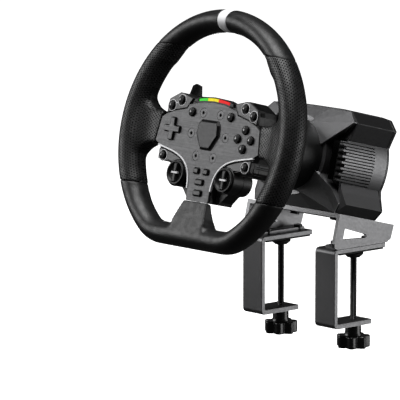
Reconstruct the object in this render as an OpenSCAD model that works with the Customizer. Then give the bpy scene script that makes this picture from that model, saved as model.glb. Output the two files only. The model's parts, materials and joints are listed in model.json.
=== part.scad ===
// Desk-clamped racing wheel: a D-shaped steering wheel with a button hub, on a direct-drive
// motor base that a bent bracket and two screw clamps hold to a desk.
// Row frame: +Z up, +Y away from the driver, +X to the driver's right. The origin is midway
// between the clamps, where the desk's top meets the clamps' upright straps.
// Wheel frame (on_axis): X right, Y up in the plane of the rim, Z along the steering axis
// towards the driver, with its zero at the centre of the rim. "h" is a height along that Z.

/* [Steering wheel] */
// Outside width of the rim
rim_d = 280; // [276:1:284]
// Width of the grip seen from the front
grip_w = 25; // [24:0.5:27]
// Depth of the grip along the steering axis
grip_depth = 32; // [31:0.5:34]
// From the centre to the outer edge of the flat bottom
flat_drop = 125; // [124:1:127]
// Outer radius of the two lower corners
corner_r = 50; // [48:1:54]
// Width of the stripe that marks the top of the rim
marker_w = 13; // [9:1:17]
// Lean of the wheel's top away from the driver, in degrees
tilt = 14; // [13:0.5:15]

/* [Place of the wheel] */
// Height of the rim's centre above the desk
wheel_z = 137.6; // [137.6:0.1:139]
// Distance of the rim's centre in front of the clamp straps
wheel_lead = 122.5; // [121:0.5:124]

/* [Hub] */
// Height of the face plate's front above the rim's centre plane
face_h = 4.2; // [4:0.1:4.4]
// Thickness of the face plate
plate_t = 2.2; // [2:0.1:2.4]
// Bolt circle of the six hub bolts
bolt_circle = 55; // [54:0.5:56]
// Radius of a hub bolt's shank
bolt_r = 2.5; // [2.3:0.1:2.5]
// Width of the bright trim strips
trim_w = 1.8; // [1.5:0.1:2]

/* [Controls] */
// Radius of the large round buttons
button_r = 4.7; // [4.4:0.1:4.8]
// Radius of the small round buttons on the pods
pod_button_r = 4.3; // [4:0.1:4.4]
// Height of a button above the surface round it
button_rise = 3; // [2.4:0.1:3.2]
// Gap round each button
button_gap = 0.3; // [0.2:0.05:0.4]
// Radius of a rotary knob
knob_r = 13.4; // [13:0.1:13.6]
// Distance of each rotary knob from the centre line
knob_x = 39; // [38.8:0.1:39.4]
// Drop of the rotary knobs below the centre
knob_drop = 45.5; // [45:0.1:46]

/* [Motor base] */
// Length of the motor housing behind its front cover
housing_l = 60; // [60:1:62]
// Radius of the ribbed waist of the housing
waist_r = 70; // [69:0.5:71]
// Half height of the housing
half_h = 58; // [58:0.5:59]
// Bore of the housing for the stator
stator_r = 50; // [48:0.5:51]
// Radius of the motor's shaft
shaft_r = 10; // [9:0.5:10.5]
// Number of cooling slits on each side
slit_count = 14; // [10:2:14]

/* [Bracket and clamps] */
// Thickness of the bracket's sheet
sheet_t = 4.5; // [4:0.1:4.8]
// Overall width of the bracket
bracket_w = 148.8; // [148.8:0.2:150]
// Width of each clamp's strap
strap_w = 31.3; // [30:0.1:31.3]
// Thickness of each clamp's strap
strap_t = 5.5; // [5:0.1:6]
// Height of the clamp's opening between its jaws
throat = 78.5; // [78:0.5:82]
// Thickness of the rubber pad under each upper jaw
pad_t = 1.6; // [1:0.1:2]
// Radius of the clamp screw
screw_r = 3.9; // [3.5:0.1:3.9]
// Gap left between the jaw's rubber and the screw's pressure pad when closed
closed_gap = 2.2; // [2.1:0.1:4]

/* [Hidden] */
$fn = 48;

// Rim
rim_mid = rim_d / 2 - grip_w / 2;
corner_y = -(flat_drop - corner_r);
corner_x = sqrt(pow(rim_d / 2 - corner_r, 2) - corner_y * corner_y);
corner_turn = 90 + atan2(corner_y, corner_x);
corner_mid = corner_r - grip_w / 2;
marker_turn = marker_w / rim_mid * 180 / PI;
high_seam = 47.5;
low_seam = -30;
seam_gap = 0.02;
core_half_w = 5;
core_back = -13;
core_front = 8;
spoke_arm_half = 11;
stem_arm_half = 9.5;
stem_front = 0.4;
stem_back = -3.6;
stem_step_y = -73;
stem_step = 2.4;

// Layers of the hub, from the front to the back
plate_back = face_h - plate_t;
shell_joint = -6;
board_front = -6.4;
board_back = -8;
frame_front = -9;
frame_back = -14;
hub_back = -24;
carrier_back = -42;
carrier_r = 33;

// Quick release, from the wheel to the motor
adapter_back = -60;
socket_back = -86;
socket_r = 29.9;
plug_r = 21.9;
collar_r = 37;
collar_front = -64;
collar_back = -88;
coupling_front = -90;
coupling_back = -98;

// Motor base
ring_front = -100;
ring_r = 40;
face_b = 130;
cover_b = 146;
rear_b = cover_b + housing_l;
end_b = rear_b + 4;
stator_len = 44;
tube_r = half_h - 3;
waist_x = 52;
slit_pitch = 3.34;
slit_t = 1.4;
bearing_r = 19;
run_gap = 0.05;

// Bracket and clamps
clamp_x = bracket_w / 2 - strap_w / 2;
plate_b0 = 143;
plate_b1 = 230;
upper_reach = 73.5;
lower_reach = 52.5;
screw_y = 39;
knob_neck = 12.7;
knob_h = 14;
foot_w = 22;
foot_bolt_y = [14, 62];

// Places of the controls in the wheel frame
cluster = [57.6, 1.1];
cluster_step = 10.4;
dpad_at = [-58, 1.8];
round_at = [31, 23];
pod_outer_at = [65.5, 27.3];
pod_inner_at = [51.2, 34.4];
pod_lower_at = [66, -28.7];
small_at = [7.6, -40];
menu_y = [-52, -64];
switch_r = 3;
switch_top = -3;
pivot_h = -2;
pivot_r = 1.2;
control_room = 17.2;

// ---- helpers ----
function mirrored(p) = [for (i = [len(p) - 1:-1:0]) [-p[i][0], p[i][1]]];
function both(p) = concat(p, mirrored(p));
function bezier(a, b, c, d, n) =
  [for (i = [0:n]) let (t = i / n, u = 1 - t)
    a * u * u * u + 3 * b * t * u * u + 3 * c * t * t * u + d * t * t * t];
function left_normal(p, i) =
  let (a = p[max(i - 1, 0)], b = p[min(i + 1, len(p) - 1)], d = b - a)
  [-d[1], d[0]] / norm(d);
function beside(p, w) = [for (i = [0:len(p) - 1]) p[i] + w * left_normal(p, i)];
function oval(rx, ry, n) = [for (i = [0:n - 1]) [rx * cos(360 * i / n), ry * sin(360 * i / n)]];
function polar(r, a) = [r * cos(a), r * sin(a)];

module on_axis() {
  translate([0, -wheel_lead, wheel_z]) rotate([90 - tilt, 0, 0]) children();
}
module slab(h0, h1) {
  translate([0, 0, h0]) linear_extrude(h1 - h0) children();
}
module post(at, r, h0, h1) {
  translate([at[0], at[1], h0]) cylinder(r = r, h = h1 - h0);
}
module pair() {
  children();
  mirror([1, 0, 0]) children();
}
// A profile drawn in (b, y), where b runs away from the driver, given a thickness along X
module side_plate(x0, x1) {
  translate([x0, 0, 0]) rotate([0, 90, 0]) linear_extrude(x1 - x0) children();
}
module rounded(x0, y0, x1, y1, r) {
  translate([x0 + r, y0]) square([x1 - x0 - 2 * r, y1 - y0]);
  translate([x0, y0 + r]) square([x1 - x0, y1 - y0 - 2 * r]);
  for (x = [x0 + r, x1 - r], y = [y0 + r, y1 - r]) translate([x, y]) circle(r);
}

// ---- outlines in the wheel frame ----
trim_edge = bezier([76.5, -16.5], [52, -22], [18, -21.5], [17.8, -60.4], 14);
plate_half = concat(
  [[0, 36.3], [18, 35.1], [33, 31.6], [38, 31], [40.5, 26], [59.7, 21.7], [72, 17.5],
   [78.5, 13.2], [82.5, -13]],
  trim_edge, [[17.5, -73]]);
shell_half = [
  [0, 42.5], [20, 41.3], [31, 38.2], [49.4, 42.3], [56, 42.8], [71.5, 34.7], [73, 28],
  [73, 19], [78.5, 13.2], [82.5, -13], [77.5, -17], [74.5, -22], [74, -33], [60, -33.5],
  [50, -37], [34, -36], [25, -40], [20.8, -48], [20, -60.5], [20, -73]];
rear_half = [
  [0, 39], [31, 37.5], [49.4, 41.5], [56, 42], [71, 34], [72.5, 27], [72.5, 19], [76, 13],
  [76, -14], [74, -22], [73.5, -33], [60, -33.5], [51, -37], [50, -52], [36, -61],
  [28, -69.5], [27, -73]];
badge_half = [[12.8, 16.5], [16.4, 12.3], [18.2, 0.6], [8, -16]];
spoke_outline = [
  [80, 19.5], [92, 20.5], [103, 28], [110, 42], [112, 44], [115.5, 36], [121, 0], [116, -34],
  [112, -42], [109, -40], [103, -26], [94, -18.5], [84.6, -16.5]];
paddle_outline = [
  [33.8, -5], [33.8, 15], [41.5, 15], [41.5, 22], [58, 34], [66, 44], [68.5, 54.5], [76, 56.5],
  [81, 54], [84, 44], [86, 22], [80, -12], [62, -26], [46, -24], [41.5, -10], [41.5, -5]];
base_top = [
  [0, half_h], [47, half_h - 0.3], [62, 55.5], [72.8, 43.9], [65.8, 23.5]];
base_low = [
  [64.5, -24.4], [68, -33.7], [73.2, -46.6], [64, -half_h], [0, -half_h]];

// ---- steering wheel ----
module grip_section() {
  polygon(oval(grip_w / 2, grip_depth / 2, 24));
}
module core_section(gap) {
  translate([-core_half_w - gap, core_back - gap])
    square([2 * (core_half_w + gap), core_front - core_back + 2 * gap]);
}
module rim_arc(from, turn) {
  rotate_extrude(angle = turn, start = from) translate([rim_mid, 0]) children();
}
module rim_flat() {
  translate([-corner_x, corner_y - corner_mid, 0])
    rotate([90, 0, 90]) linear_extrude(2 * corner_x) children();
}
module stem_strip(y0, y1, gap) {
  translate([-stem_arm_half - gap, y0 - gap])
    square([2 * (stem_arm_half + gap), y1 - y0 + 2 * gap]);
}
// Two flat arms to the sides, and a lower one that steps forward where it leaves the hub
module spoke_arms(gap) {
  slab(frame_back - gap, frame_front + gap) {
    translate([-rim_mid, -spoke_arm_half - gap]) square([2 * rim_mid, 2 * (spoke_arm_half + gap)]);
    stem_strip(stem_step_y, 0, gap);
  }
  slab(frame_back - gap, stem_front + gap) stem_strip(stem_step_y, stem_step_y + stem_step, gap);
  slab(stem_back - gap, stem_front + gap)
    stem_strip(corner_y - corner_mid, stem_step_y + stem_step, gap);
}
module grip_tube() {
  difference() {
    grip_section();
    core_section(run_gap);
  }
}
module stem_spoke() {
  intersection() {
    slab(-20, 20) polygon([[18.5, -74.2], [29, -104], [-29, -104], [-18.5, -74.2]]);
    side_profile_block(30, [[3, -74], [10, -74], [16, -101], [16, -104], [-13, -104], [0, -88]]);
  }
  slab(stem_back - 1.8, 3.5) translate([-stem_arm_half - 1.5, -104])
    square([2 * stem_arm_half + 3, 29.8]);
}
// A profile drawn in (h, y), given a thickness of 2 * half_w across the centre line
module side_profile_block(half_w, points) {
  translate([half_w, 0, 0]) rotate([0, -90, 0]) linear_extrude(2 * half_w) polygon(points);
}
// One sewn panel of the grip, held a hair clear of the next one
module arc_panel(from, to) {
  rim_arc(from + seam_gap, to - from - 2 * seam_gap) grip_tube();
}
module side_panel() {
  difference() {
    union() {
      arc_panel(low_seam, high_seam);
      slab(-15.5, 7) polygon(spoke_outline);
    }
    spoke_arms(run_gap);
  }
}
module rim_grip() {
  color("#1c1c1e") on_axis() {
    pair() {
      arc_panel(high_seam, 90 - marker_turn / 2);
      side_panel();
      arc_panel(corner_turn - 90, low_seam);
      translate([corner_x, corner_y, 0])
        rotate_extrude(angle = corner_turn - 2 * seam_gap, start = seam_gap - 90)
          translate([corner_mid, 0]) grip_tube();
    }
    difference() {
      union() {
        rim_flat() grip_tube();
        stem_spoke();
      }
      spoke_arms(run_gap);
    }
  }
}
module top_marker() {
  color("#c8c8ca") on_axis() rim_arc(90 - marker_turn / 2, marker_turn) grip_tube();
}
module bolt_places() {
  for (i = [0:5]) rotate(60 * i) translate([bolt_circle / 2, 0]) children();
}
// The rim's outline, moved inwards
function d_outline(inset) =
  let (r = rim_d / 2 - inset, rc = corner_r - inset, c = [corner_x, corner_y], n = 72, m = 8)
  concat(
    [for (i = [0:n]) polar(r, corner_turn - 90 + (360 - 2 * corner_turn) * i / n)],
    [for (i = [1:m]) [-c[0], c[1]] + polar(rc, 270 - corner_turn + corner_turn * i / m)],
    [for (i = [0:m - 1]) c + polar(rc, 270 + corner_turn * i / m)]);
module rim_core() {
  slab(core_back, core_front) difference() {
    polygon(d_outline(grip_w / 2 - core_half_w + 0.2));
    polygon(d_outline(grip_w / 2 + core_half_w - 0.2));
  }
}
module hub_frame() {
  color("#8a8c90") on_axis() difference() {
    union() {
      rim_core();
      spoke_arms(0);
      slab(frame_back, frame_front) circle(36);
    }
    slab(frame_back - 1, frame_front + 1) {
      bolt_places() circle(bolt_r + 0.1);
      circle(12);
    }
  }
}

// ---- hub ----
module cross(half_x, half_y, arm) {
  translate([-half_x, -arm / 2]) square([2 * half_x, arm]);
  translate([-arm / 2, -half_y]) square([arm, 2 * half_y]);
}
module control_holes(gap) {
  for (i = [0:3]) translate(cluster + polar(cluster_step, 90 * i)) circle(button_r + gap);
  for (s = [-1, 1]) translate([s * round_at[0], round_at[1]]) circle(button_r + gap);
  for (s = [-1, 1]) translate([s * small_at[0], small_at[1]])
    translate([-4.25 - gap, -3.25 - gap]) square([8.5 + 2 * gap, 6.5 + 2 * gap]);
  for (y = menu_y) translate([-6.25 - gap, y - 3.25 - gap]) square([12.5 + 2 * gap, 6.5 + 2 * gap]);
  translate(dpad_at) cross(12.6 + 2 * gap, 12.6 + 2 * gap, 7.2 + 4 * gap);
}
module trim_outline() {
  polygon(concat(trim_edge, [for (i = [len(trim_edge) - 1:-1:0]) beside(trim_edge, trim_w)[i]]));
}
module hub_plate() {
  color("#6e6e70") on_axis() difference() {
    slab(plate_back, face_h) difference() {
      polygon(both(plate_half));
      control_holes(button_gap);
      bolt_places() circle(5.3);
    }
  }
}
module trim_strips() {
  color("#e6e6e8") on_axis() pair() slab(plate_back, face_h + 0.8) trim_outline();
}
module pod_places() {
  for (s = [-1, 1], p = [pod_outer_at, pod_inner_at, pod_lower_at])
    translate([s * p[0], p[1]]) children();
}
module inner_room() {
  circle(31.5);
  translate([-73, -11.5]) square([146, 24]);
  translate([-35.5, 0]) square([71, 28.5]);
  translate([-15, -71]) square([30, 71]);
  for (p = [cluster, dpad_at]) translate(p) circle(control_room);
  for (s = [-1, 1]) translate([s * round_at[0], round_at[1]]) circle(button_r + 1.7);
}
module light_bar(gap) {
  reach = 11.4 + gap * 2;
  translate([0, -84]) intersection() {
    difference() {
      circle(124.5 + gap, $fn = 200);
      circle(122 - gap, $fn = 200);
    }
    polygon([[0, 0], polar(140, 90 - reach), polar(140, 90 + reach)]);
  }
}
module hub_front_shell() {
  color("#3c3c3e") on_axis() difference() {
    slab(shell_joint, face_h) polygon(both(shell_half));
    slab(plate_back, face_h + 1) {
      polygon(both(plate_half));
      pair() trim_outline();
      translate([-25, -74]) square([50, 38]);
    }
    slab(shell_joint - 1, plate_back + 1) inner_room();
    slab(shell_joint - 1, plate_back + 0.2) pod_places() circle(pod_button_r + 1.6);
    slab(shell_joint - 1, face_h + 1) pod_places() circle(pod_button_r + button_gap);
    slab(0.4, face_h + 1) light_bar(0.1);
    spoke_arms(0.15);
    pair() post([knob_x, -knob_drop], knob_r + 1.2, shell_joint - 1, face_h + 1);
  }
}
module led_lens() {
  color("#50d040") on_axis() slab(0.5, 3.4) light_bar(0);
}
module badge() {
  color("#555557") on_axis() {
    slab(face_h, face_h + 2) polygon(both(badge_half));
    slab(face_h + 2, face_h + 3) scale(0.9) polygon(both(badge_half));
  }
}
module hub_bolts() {
  color("#5a5a5c") on_axis() for (i = [0:5]) {
    rotate(60 * i) translate([bolt_circle / 2, 0, 0]) difference() {
      union() {
        translate([0, 0, plate_back]) cylinder(r = 5.15, h = plate_t);
        translate([0, 0, carrier_back - 10]) cylinder(r = bolt_r, h = plate_back - carrier_back + 10);
      }
      translate([0, 0, face_h - 1.6]) cylinder(r = 1.5, h = 2, $fn = 6);
    }
  }
}
module board_outline() {
  difference() {
    union() {
      circle(31);
      translate([-70, -11]) square([140, 23]);
      translate([-14, -70]) square([28, 70]);
      for (p = [cluster, dpad_at]) translate(p) circle(control_room - 1.5);
    }
    bolt_places() circle(bolt_r + 0.5);
  }
}
module switches() {
  for (i = [0:3]) translate(cluster + polar(cluster_step, 90 * i)) children();
  for (s = [-1, 1]) translate([s * small_at[0], small_at[1]]) children();
  for (y = menu_y) translate([0, y]) children();
}
module hub_board() {
  color("#1f5c3a") on_axis() difference() {
    union() {
      slab(board_back, board_front) difference() {
        board_outline();
        pair() translate([knob_x, -knob_drop]) circle(knob_r + 1.5);
      }
      slab(board_front, switch_top) switches() circle(switch_r);
      slab(board_front, pivot_h + 1.5) translate(dpad_at) for (s = [-1, 1])
        translate([s * 4.9 - 0.8, -2]) square([1.6, 4]);
    }
    dpad_pins(pivot_r + run_gap, 6, 0);
  }
}
// Two crossed pins that let the direction pad rock
module dpad_pins(r, half_x, half_y) {
  translate([dpad_at[0], dpad_at[1], pivot_h]) {
    if (half_x > 0) translate([-half_x, 0, 0]) rotate([0, 90, 0]) cylinder(r = r, h = 2 * half_x);
    if (half_y > 0) translate([0, half_y, 0]) rotate([90, 0, 0]) cylinder(r = r, h = 2 * half_y);
  }
}
module ear(y0) {
  translate([24, y0, -41]) cube([16, 3, 10]);
}
module hub_rear_shell() {
  color("#2a2a2c") on_axis() difference() {
    union() {
      slab(hub_back, shell_joint) polygon(both(rear_half));
      pair() post([knob_x, -knob_drop], knob_r + 0.9, hub_back, face_h - 1.2);
      post([0, 0], carrier_r, carrier_back, hub_back);
      pair() ear(-9);
      pair() ear(16);
    }
    slab(hub_back + 2, shell_joint + 1) {
      inner_room();
      circle(36.2);
    }
    slab(hub_back + 4, shell_joint + 1) pod_places() circle(pod_button_r + 1.6);
    spoke_arms(0.15);
    slab(carrier_back - 1, 0) bolt_places() circle(bolt_r + 0.1);
    slab(carrier_back - 1, hub_back + 5) circle(12);
    pair() post([knob_x, -knob_drop], 3.05, -18, face_h + 1);
    pair() post([knob_x, -knob_drop], knob_r - 2, -4, face_h + 1);
    pair() translate([36.5, -10, -36.5]) rotate([-90, 0, 0]) cylinder(r = 1.56, h = 30);
  }
}

// ---- controls ----
module round_button(at, r, base_h) {
  on_axis() {
    post(at, r, -1, base_h + button_rise);
    post(at, r + 1, -1, -0.2);
  }
}
module cluster_button(turn) {
  color("#151516") round_button(cluster + polar(cluster_step, turn), button_r, face_h);
}
module cluster_button_top() {
  cluster_button(90);
}
module cluster_button_right() {
  cluster_button(0);
}
module cluster_button_bottom() {
  cluster_button(270);
}
module cluster_button_left() {
  cluster_button(180);
}
module face_button(side) {
  color("#151516") round_button([side * round_at[0], round_at[1]], button_r, face_h);
}
module left_round_button() {
  face_button(-1);
}
module right_round_button() {
  face_button(1);
}
module bar_button(at, w) {
  color("#202022") on_axis() translate(at) {
    translate([-w / 2, -3.25, -1]) cube([w, 6.5, face_h + 3.2]);
    translate([-w / 2 - 0.8, -4.05, -1]) cube([w + 1.6, 8.1, 0.8]);
  }
}
module left_small_button() {
  bar_button([-small_at[0], small_at[1], 0], 8.5);
}
module right_small_button() {
  bar_button([small_at[0], small_at[1], 0], 8.5);
}
module upper_menu_button() {
  bar_button([0, menu_y[0], 0], 12.5);
}
module lower_menu_button() {
  bar_button([0, menu_y[1], 0], 12.5);
}
module pod_button(side, at) {
  color("#151516") round_button([side * at[0], at[1]], pod_button_r, face_h);
}
module left_pod_outer_button() {
  pod_button(-1, pod_outer_at);
}
module left_pod_inner_button() {
  pod_button(-1, pod_inner_at);
}
module right_pod_inner_button() {
  pod_button(1, pod_inner_at);
}
module right_pod_outer_button() {
  pod_button(1, pod_outer_at);
}
module left_lower_button() {
  pod_button(-1, pod_lower_at);
}
module right_lower_button() {
  pod_button(1, pod_lower_at);
}
module dpad_pivot() {
  color("#b8b8ba") on_axis() dpad_pins(pivot_r, 5.6, 4.2);
}
module dpad() {
  color("#202022") on_axis() difference() {
    union() {
      slab(0.8, face_h + 2.6) translate(dpad_at) cross(12.6, 12.6, 7.2);
      slab(pivot_h - 1.7, 0.8) translate(dpad_at) for (s = [-1, 1])
        translate([-2, s * 3.2 - 0.8]) square([4, 1.6]);
    }
    dpad_pins(pivot_r + run_gap, 0, 5);
  }
}
module rotary_knob(side) {
  color("#1a1a1c") on_axis() translate([side * knob_x, -knob_drop, 0]) {
    difference() {
      translate([0, 0, face_h - 1]) cylinder(r = knob_r, h = 4.5);
      translate([0, 0, face_h + 1.6]) cylinder(r = knob_r - 2.2, h = 4);
    }
    translate([-knob_r + 1.2, -2.6, face_h + 1]) cube([2 * knob_r - 2.4, 5.2, 3.2]);
    translate([0, 0, -17]) cylinder(r = 3, h = 17 + face_h);
  }
}
module left_rotary_knob() {
  rotary_knob(-1);
}
module right_rotary_knob() {
  rotary_knob(1);
}
module paddle() {
  slab(-38, -35) polygon(paddle_outline);
  translate([36.5, -5.8, -36.5]) rotate([-90, 0, 0]) cylinder(r = 3.2, h = 21.6);
  translate([36.5, -9, -36.5]) rotate([-90, 0, 0]) cylinder(r = 1.5, h = 28);
}
module right_paddle() {
  color("#1e1e20") on_axis() paddle();
}
module left_paddle() {
  color("#1e1e20") on_axis() mirror([1, 0, 0]) paddle();
}

// ---- quick release and motor ----
module wheel_adapter() {
  color("#2e2e30") on_axis() difference() {
    union() {
      post([0, 0], carrier_r, adapter_back, carrier_back);
      post([0, 0], socket_r, socket_back, adapter_back);
    }
    post([0, 0], plug_r + 0.1, socket_back - 1, adapter_back);
    slab(carrier_back - 12, carrier_back + 1) bolt_places() circle(bolt_r + 0.05);
  }
}
module quick_release_collar() {
  color("#242426") on_axis() difference() {
    post([0, 0], collar_r, collar_back, collar_front);
    post([0, 0], socket_r + run_gap, collar_back - 1, collar_front + 1);
    for (i = [0:23]) rotate(15 * i) post([collar_r + 1, 0], 1.9, collar_back + 3, collar_front - 3);
  }
}
module quick_release_hub() {
  color("#9a9ca0") on_axis() difference() {
    union() {
      post([0, 0], plug_r, coupling_front, adapter_back - 2);
      post([0, 0], carrier_r + 1, coupling_back, coupling_front);
    }
    post([0, 0], shaft_r + 0.02, coupling_back - 1, -70);
  }
}
module main_shaft() {
  color("#b0b2b6") on_axis() post([0, 0], shaft_r, -cover_b - stator_len - 6, -70.5);
}
module rotor() {
  color("#7a7c80") on_axis() difference() {
    post([0, 0], stator_r - 9, -cover_b - stator_len + 3, -cover_b - 3);
    post([0, 0], shaft_r + 0.02, -rear_b, -cover_b);
  }
}
module stator() {
  color("#b87333") on_axis() difference() {
    post([0, 0], stator_r - 0.05, -cover_b - stator_len + 2, -cover_b - 2);
    post([0, 0], stator_r - 8.4, -rear_b, -cover_b);
    for (i = [0:11]) rotate(30 * i) post([stator_r - 6.5, 0], 2.6, -rear_b, -cover_b);
  }
}
module bearing(h0, h1) {
  difference() {
    post([0, 0], bearing_r - 0.03, h0, h1);
    post([0, 0], shaft_r + run_gap, h0 - 1, h1 + 1);
  }
}
module bearings() {
  color("#c8cacc") on_axis() {
    bearing(-cover_b, -cover_b + 7);
    bearing(-cover_b - stator_len - 5.5, -cover_b - stator_len);
  }
}

// ---- motor base ----
module low_outline() {
  polygon(both(concat([[0, -20], [60, -20]], base_low)));
  circle(tube_r);
  intersection() {
    circle(waist_r, $fn = 128);
    for (s = [-1, 1]) translate([s * 60 - 20, -24.6]) square([40, 48.1]);
  }
}
module top_outline() {
  difference() {
    polygon(both(concat(base_top, [[0, base_top[4][1]]])));
    circle(tube_r + 0.1);
  }
}
module motor_housing() {
  color("#77787a") on_axis() difference() {
    union() {
      slab(-rear_b, -cover_b) low_outline();
      slab(-cover_b, -cover_b + 10) intersection() {
        circle(waist_r, $fn = 128);
        for (s = [-1, 1]) translate([s * (waist_x + 10) - 10, -22]) square([20, 44]);
      }
      post([0, 0], bearing_r + 4, -cover_b, -cover_b + 7);
    }
    post([0, 0], stator_r, -cover_b - stator_len, -cover_b - 1);
    post([0, 0], bearing_r, -cover_b - 2, -cover_b + 8);
    post([0, 0], bearing_r, -cover_b - stator_len - 5.6, -cover_b - stator_len + 1);
    post([0, 0], shaft_r + 3, -rear_b - 1, -cover_b);
    slab(-rear_b - 1, -rear_b + 8) circle(tube_r - 4);
    translate([0, -1.45, 0]) {
      for (i = [0:slit_count - 1]) translate([0, (i - (slit_count - 1) / 2) * slit_pitch, 0])
        pair() translate([61, -slit_t / 2, -187]) cube([20, slit_t, 60]);
      for (i = [1:slit_count / 2 - 1]) translate([0, (2 * i - slit_count / 2) * slit_pitch, 0])
        pair() translate([61, -slit_pitch / 2, -141]) cube([20, slit_pitch, 20]);
    }
    pair() for (b = [160, 196]) translate([50, -half_h - 1, -b]) rotate([-90, 0, 0])
      cylinder(r = 2.6, h = 13);
    pair() translate([0, -24.6, 0]) rotate([90, 0, 0]) linear_extrude(height = 40)
      polygon([[66.4, -cover_b + 1], [76.4, -cover_b + 1], [76.4, -cover_b - 8.4]]);
  }
}
module top_cover() {
  color("#4c4c4e") on_axis() difference() {
    slab(-rear_b, -cover_b) top_outline();
    for (x = [-24:8:24]) translate([x - 2.2, half_h - 2.6, -cover_b - 26]) cube([4.4, 4, 20]);
  }
}
module at(x, b, y) {
  translate([x - 0.25, y - 0.25, -b]) cube([0.5, 0.5, 0.5]);
}
module front_arm_up() {
  hull() {
    at(15, face_b + 0.5, 37);
    at(38, face_b + 0.5, 15);
    at(30, 142, 55.2);
    at(62, 144.6, 55.2);
    at(72.5, 141.5, 44.2);
    at(34, 138, 12);
    at(34, cover_b, 12);
    at(30, cover_b, 55.2);
    at(62, cover_b, 55);
    at(72, cover_b, 44.2);
  }
}
module front_arm_down() {
  hull() {
    at(14, face_b + 0.5, -39);
    at(38, face_b + 0.5, -16);
    at(29, 142, -57.2);
    at(64, 144, -57.2);
    at(67.2, 144.8, -46.6);
    at(59, 139, -32);
    at(40, 138, -15.5);
    at(40, cover_b, -15.5);
    at(60, cover_b, -32);
    at(29, cover_b, -57.2);
    at(63, cover_b, -57);
    at(67.2, cover_b, -46.6);
  }
}
module front_middle(y, edge) {
  hull() pair() {
    at(14, face_b + 3, y);
    at(29, 143, edge);
    at(29, cover_b, edge);
    at(14, cover_b, y);
  }
}
module front_cover() {
  color("#a2a3a6") on_axis() difference() {
    union() {
      pair() front_arm_up();
      pair() front_arm_down();
      front_middle(36, 55.2);
      front_middle(-37, -57.2);
      post([0, 0], ring_r + 5, -cover_b, -face_b - 4);
    }
    post([0, 0], ring_r + 0.1, -cover_b - 1, -face_b + 1);
  }
}
module front_ring() {
  color("#161617") on_axis() difference() {
    post([0, 0], ring_r, -cover_b, ring_front);
    post([0, 0], ring_r - 5, -cover_b - 1, ring_front - 4);
    post([0, 0], shaft_r + 4, -cover_b, ring_front + 1);
  }
}
module whole_outline() {
  waist_y = [base_top[4][1], base_low[0][1]];
  waist_arc = [for (i = [0:8]) let (y = waist_y[0] + (waist_y[1] - waist_y[0]) * i / 8)
    [sqrt(waist_r * waist_r - y * y), y]];
  polygon(both(concat([for (i = [0:3]) base_top[i]], waist_arc, [for (i = [1:4]) base_low[i]])));
}
module socket_holes(gap) {
  translate([-40 - gap, -24 - gap]) square([9 + 2 * gap, 3.4 + 2 * gap]);
  for (i = [0:3]) translate([-22 + 15 * i - gap, -26 - gap]) square([11 + 2 * gap, 9 + 2 * gap]);
  translate([40, -21.5]) circle(4.2 + gap);
}
module rear_cover() {
  color("#3a3a3c") on_axis() difference() {
    slab(-end_b, -rear_b) difference() {
      whole_outline();
      socket_holes(0.1);
      translate([0, 8]) circle(7.3);
      for (y = [30:6:48]) translate([-36, y - 1.5]) square([72, 3]);
      pair() for (y = [-42, 36]) translate([56, y]) circle(2.1);
    }
  }
}
module port_sockets() {
  color("#18181a") on_axis() difference() {
    slab(-end_b + 0.4, -rear_b + 5) socket_holes(0);
    slab(-end_b - 1, -rear_b + 2) {
      translate([-38.8, -23.2]) square([6.6, 1.8]);
      for (i = [0:3]) translate([-20.8 + 15 * i, -24.8]) square([8.6, 6.6]);
      translate([40, -21.5]) circle(2.8);
    }
  }
}
module controller_board() {
  color("#1f5c3a") on_axis() slab(-rear_b + 5.2, -rear_b + 6.8) circle(tube_r - 4.5);
}
module power_button() {
  color("#8c2020") on_axis() {
    post([0, 8], 7, -end_b - 1.2, -rear_b + 1.6);
    post([0, 8], 8.5, -rear_b + 0.1, -rear_b + 1.6);
  }
}
module housing_screws() {
  color("#1a1a1c") on_axis() pair() for (y = [-42, 36]) translate([56, y, -end_b - 1.4]) difference() {
    union() {
      cylinder(r = 3.6, h = 1.4);
      cylinder(r = 2, h = 5.3);
    }
    translate([0, 0, -1]) cylinder(r = 1.3, h = 2, $fn = 6);
  }
}

// ---- bracket and clamps ----
// Height in the wheel frame of the jaws' top face, at a distance b behind the rim's centre
function jaw_y(b) = (pad_t + strap_t + run_gap - wheel_z + b * sin(tilt)) / cos(tilt);
module wing_outline() {
  r = 7;
  difference() {
    polygon([
      [plate_b0, -half_h - 1], [plate_b0, jaw_y(plate_b0) + r],
      [plate_b0 + r * 0.3, jaw_y(plate_b0) + r * 0.3], [plate_b0 + r, jaw_y(plate_b0 + r)],
      [plate_b1 - 6, jaw_y(plate_b1 - 6)], [plate_b1 - 1, jaw_y(plate_b1) + 3],
      [plate_b1, -half_h - 3], [plate_b1 - 2, -half_h - 1]]);
    polygon([
      [156, -72.5], [188, -74.4], [191, -75.6], [190.6, -77.6], [188.5, -78.6],
      [156.4, -85], [154.9, -84], [154.9, -73.6]]);
  }
}
module mount_bracket() {
  color("#5e5f61") difference() {
    union() {
      on_axis() {
        translate([-bracket_w / 2, -half_h - sheet_t, -plate_b1]) cube([bracket_w, sheet_t, plate_b1 - plate_b0]);
        pair() side_plate(bracket_w / 2 - sheet_t, bracket_w / 2) wing_outline();
      }
      pair() translate([bracket_w / 2 - foot_w, 2, pad_t + strap_t]) cube([foot_w - 1, 68, 3]);
    }
    pair() for (y = foot_bolt_y) translate([clamp_x - 4, y, 0]) cylinder(r = 3.05, h = 20);
    on_axis() pair() for (b = [160, 196]) translate([50, -half_h - 6, -b]) rotate([-90, 0, 0])
      cylinder(r = 2.8, h = 8);
  }
}
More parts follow.
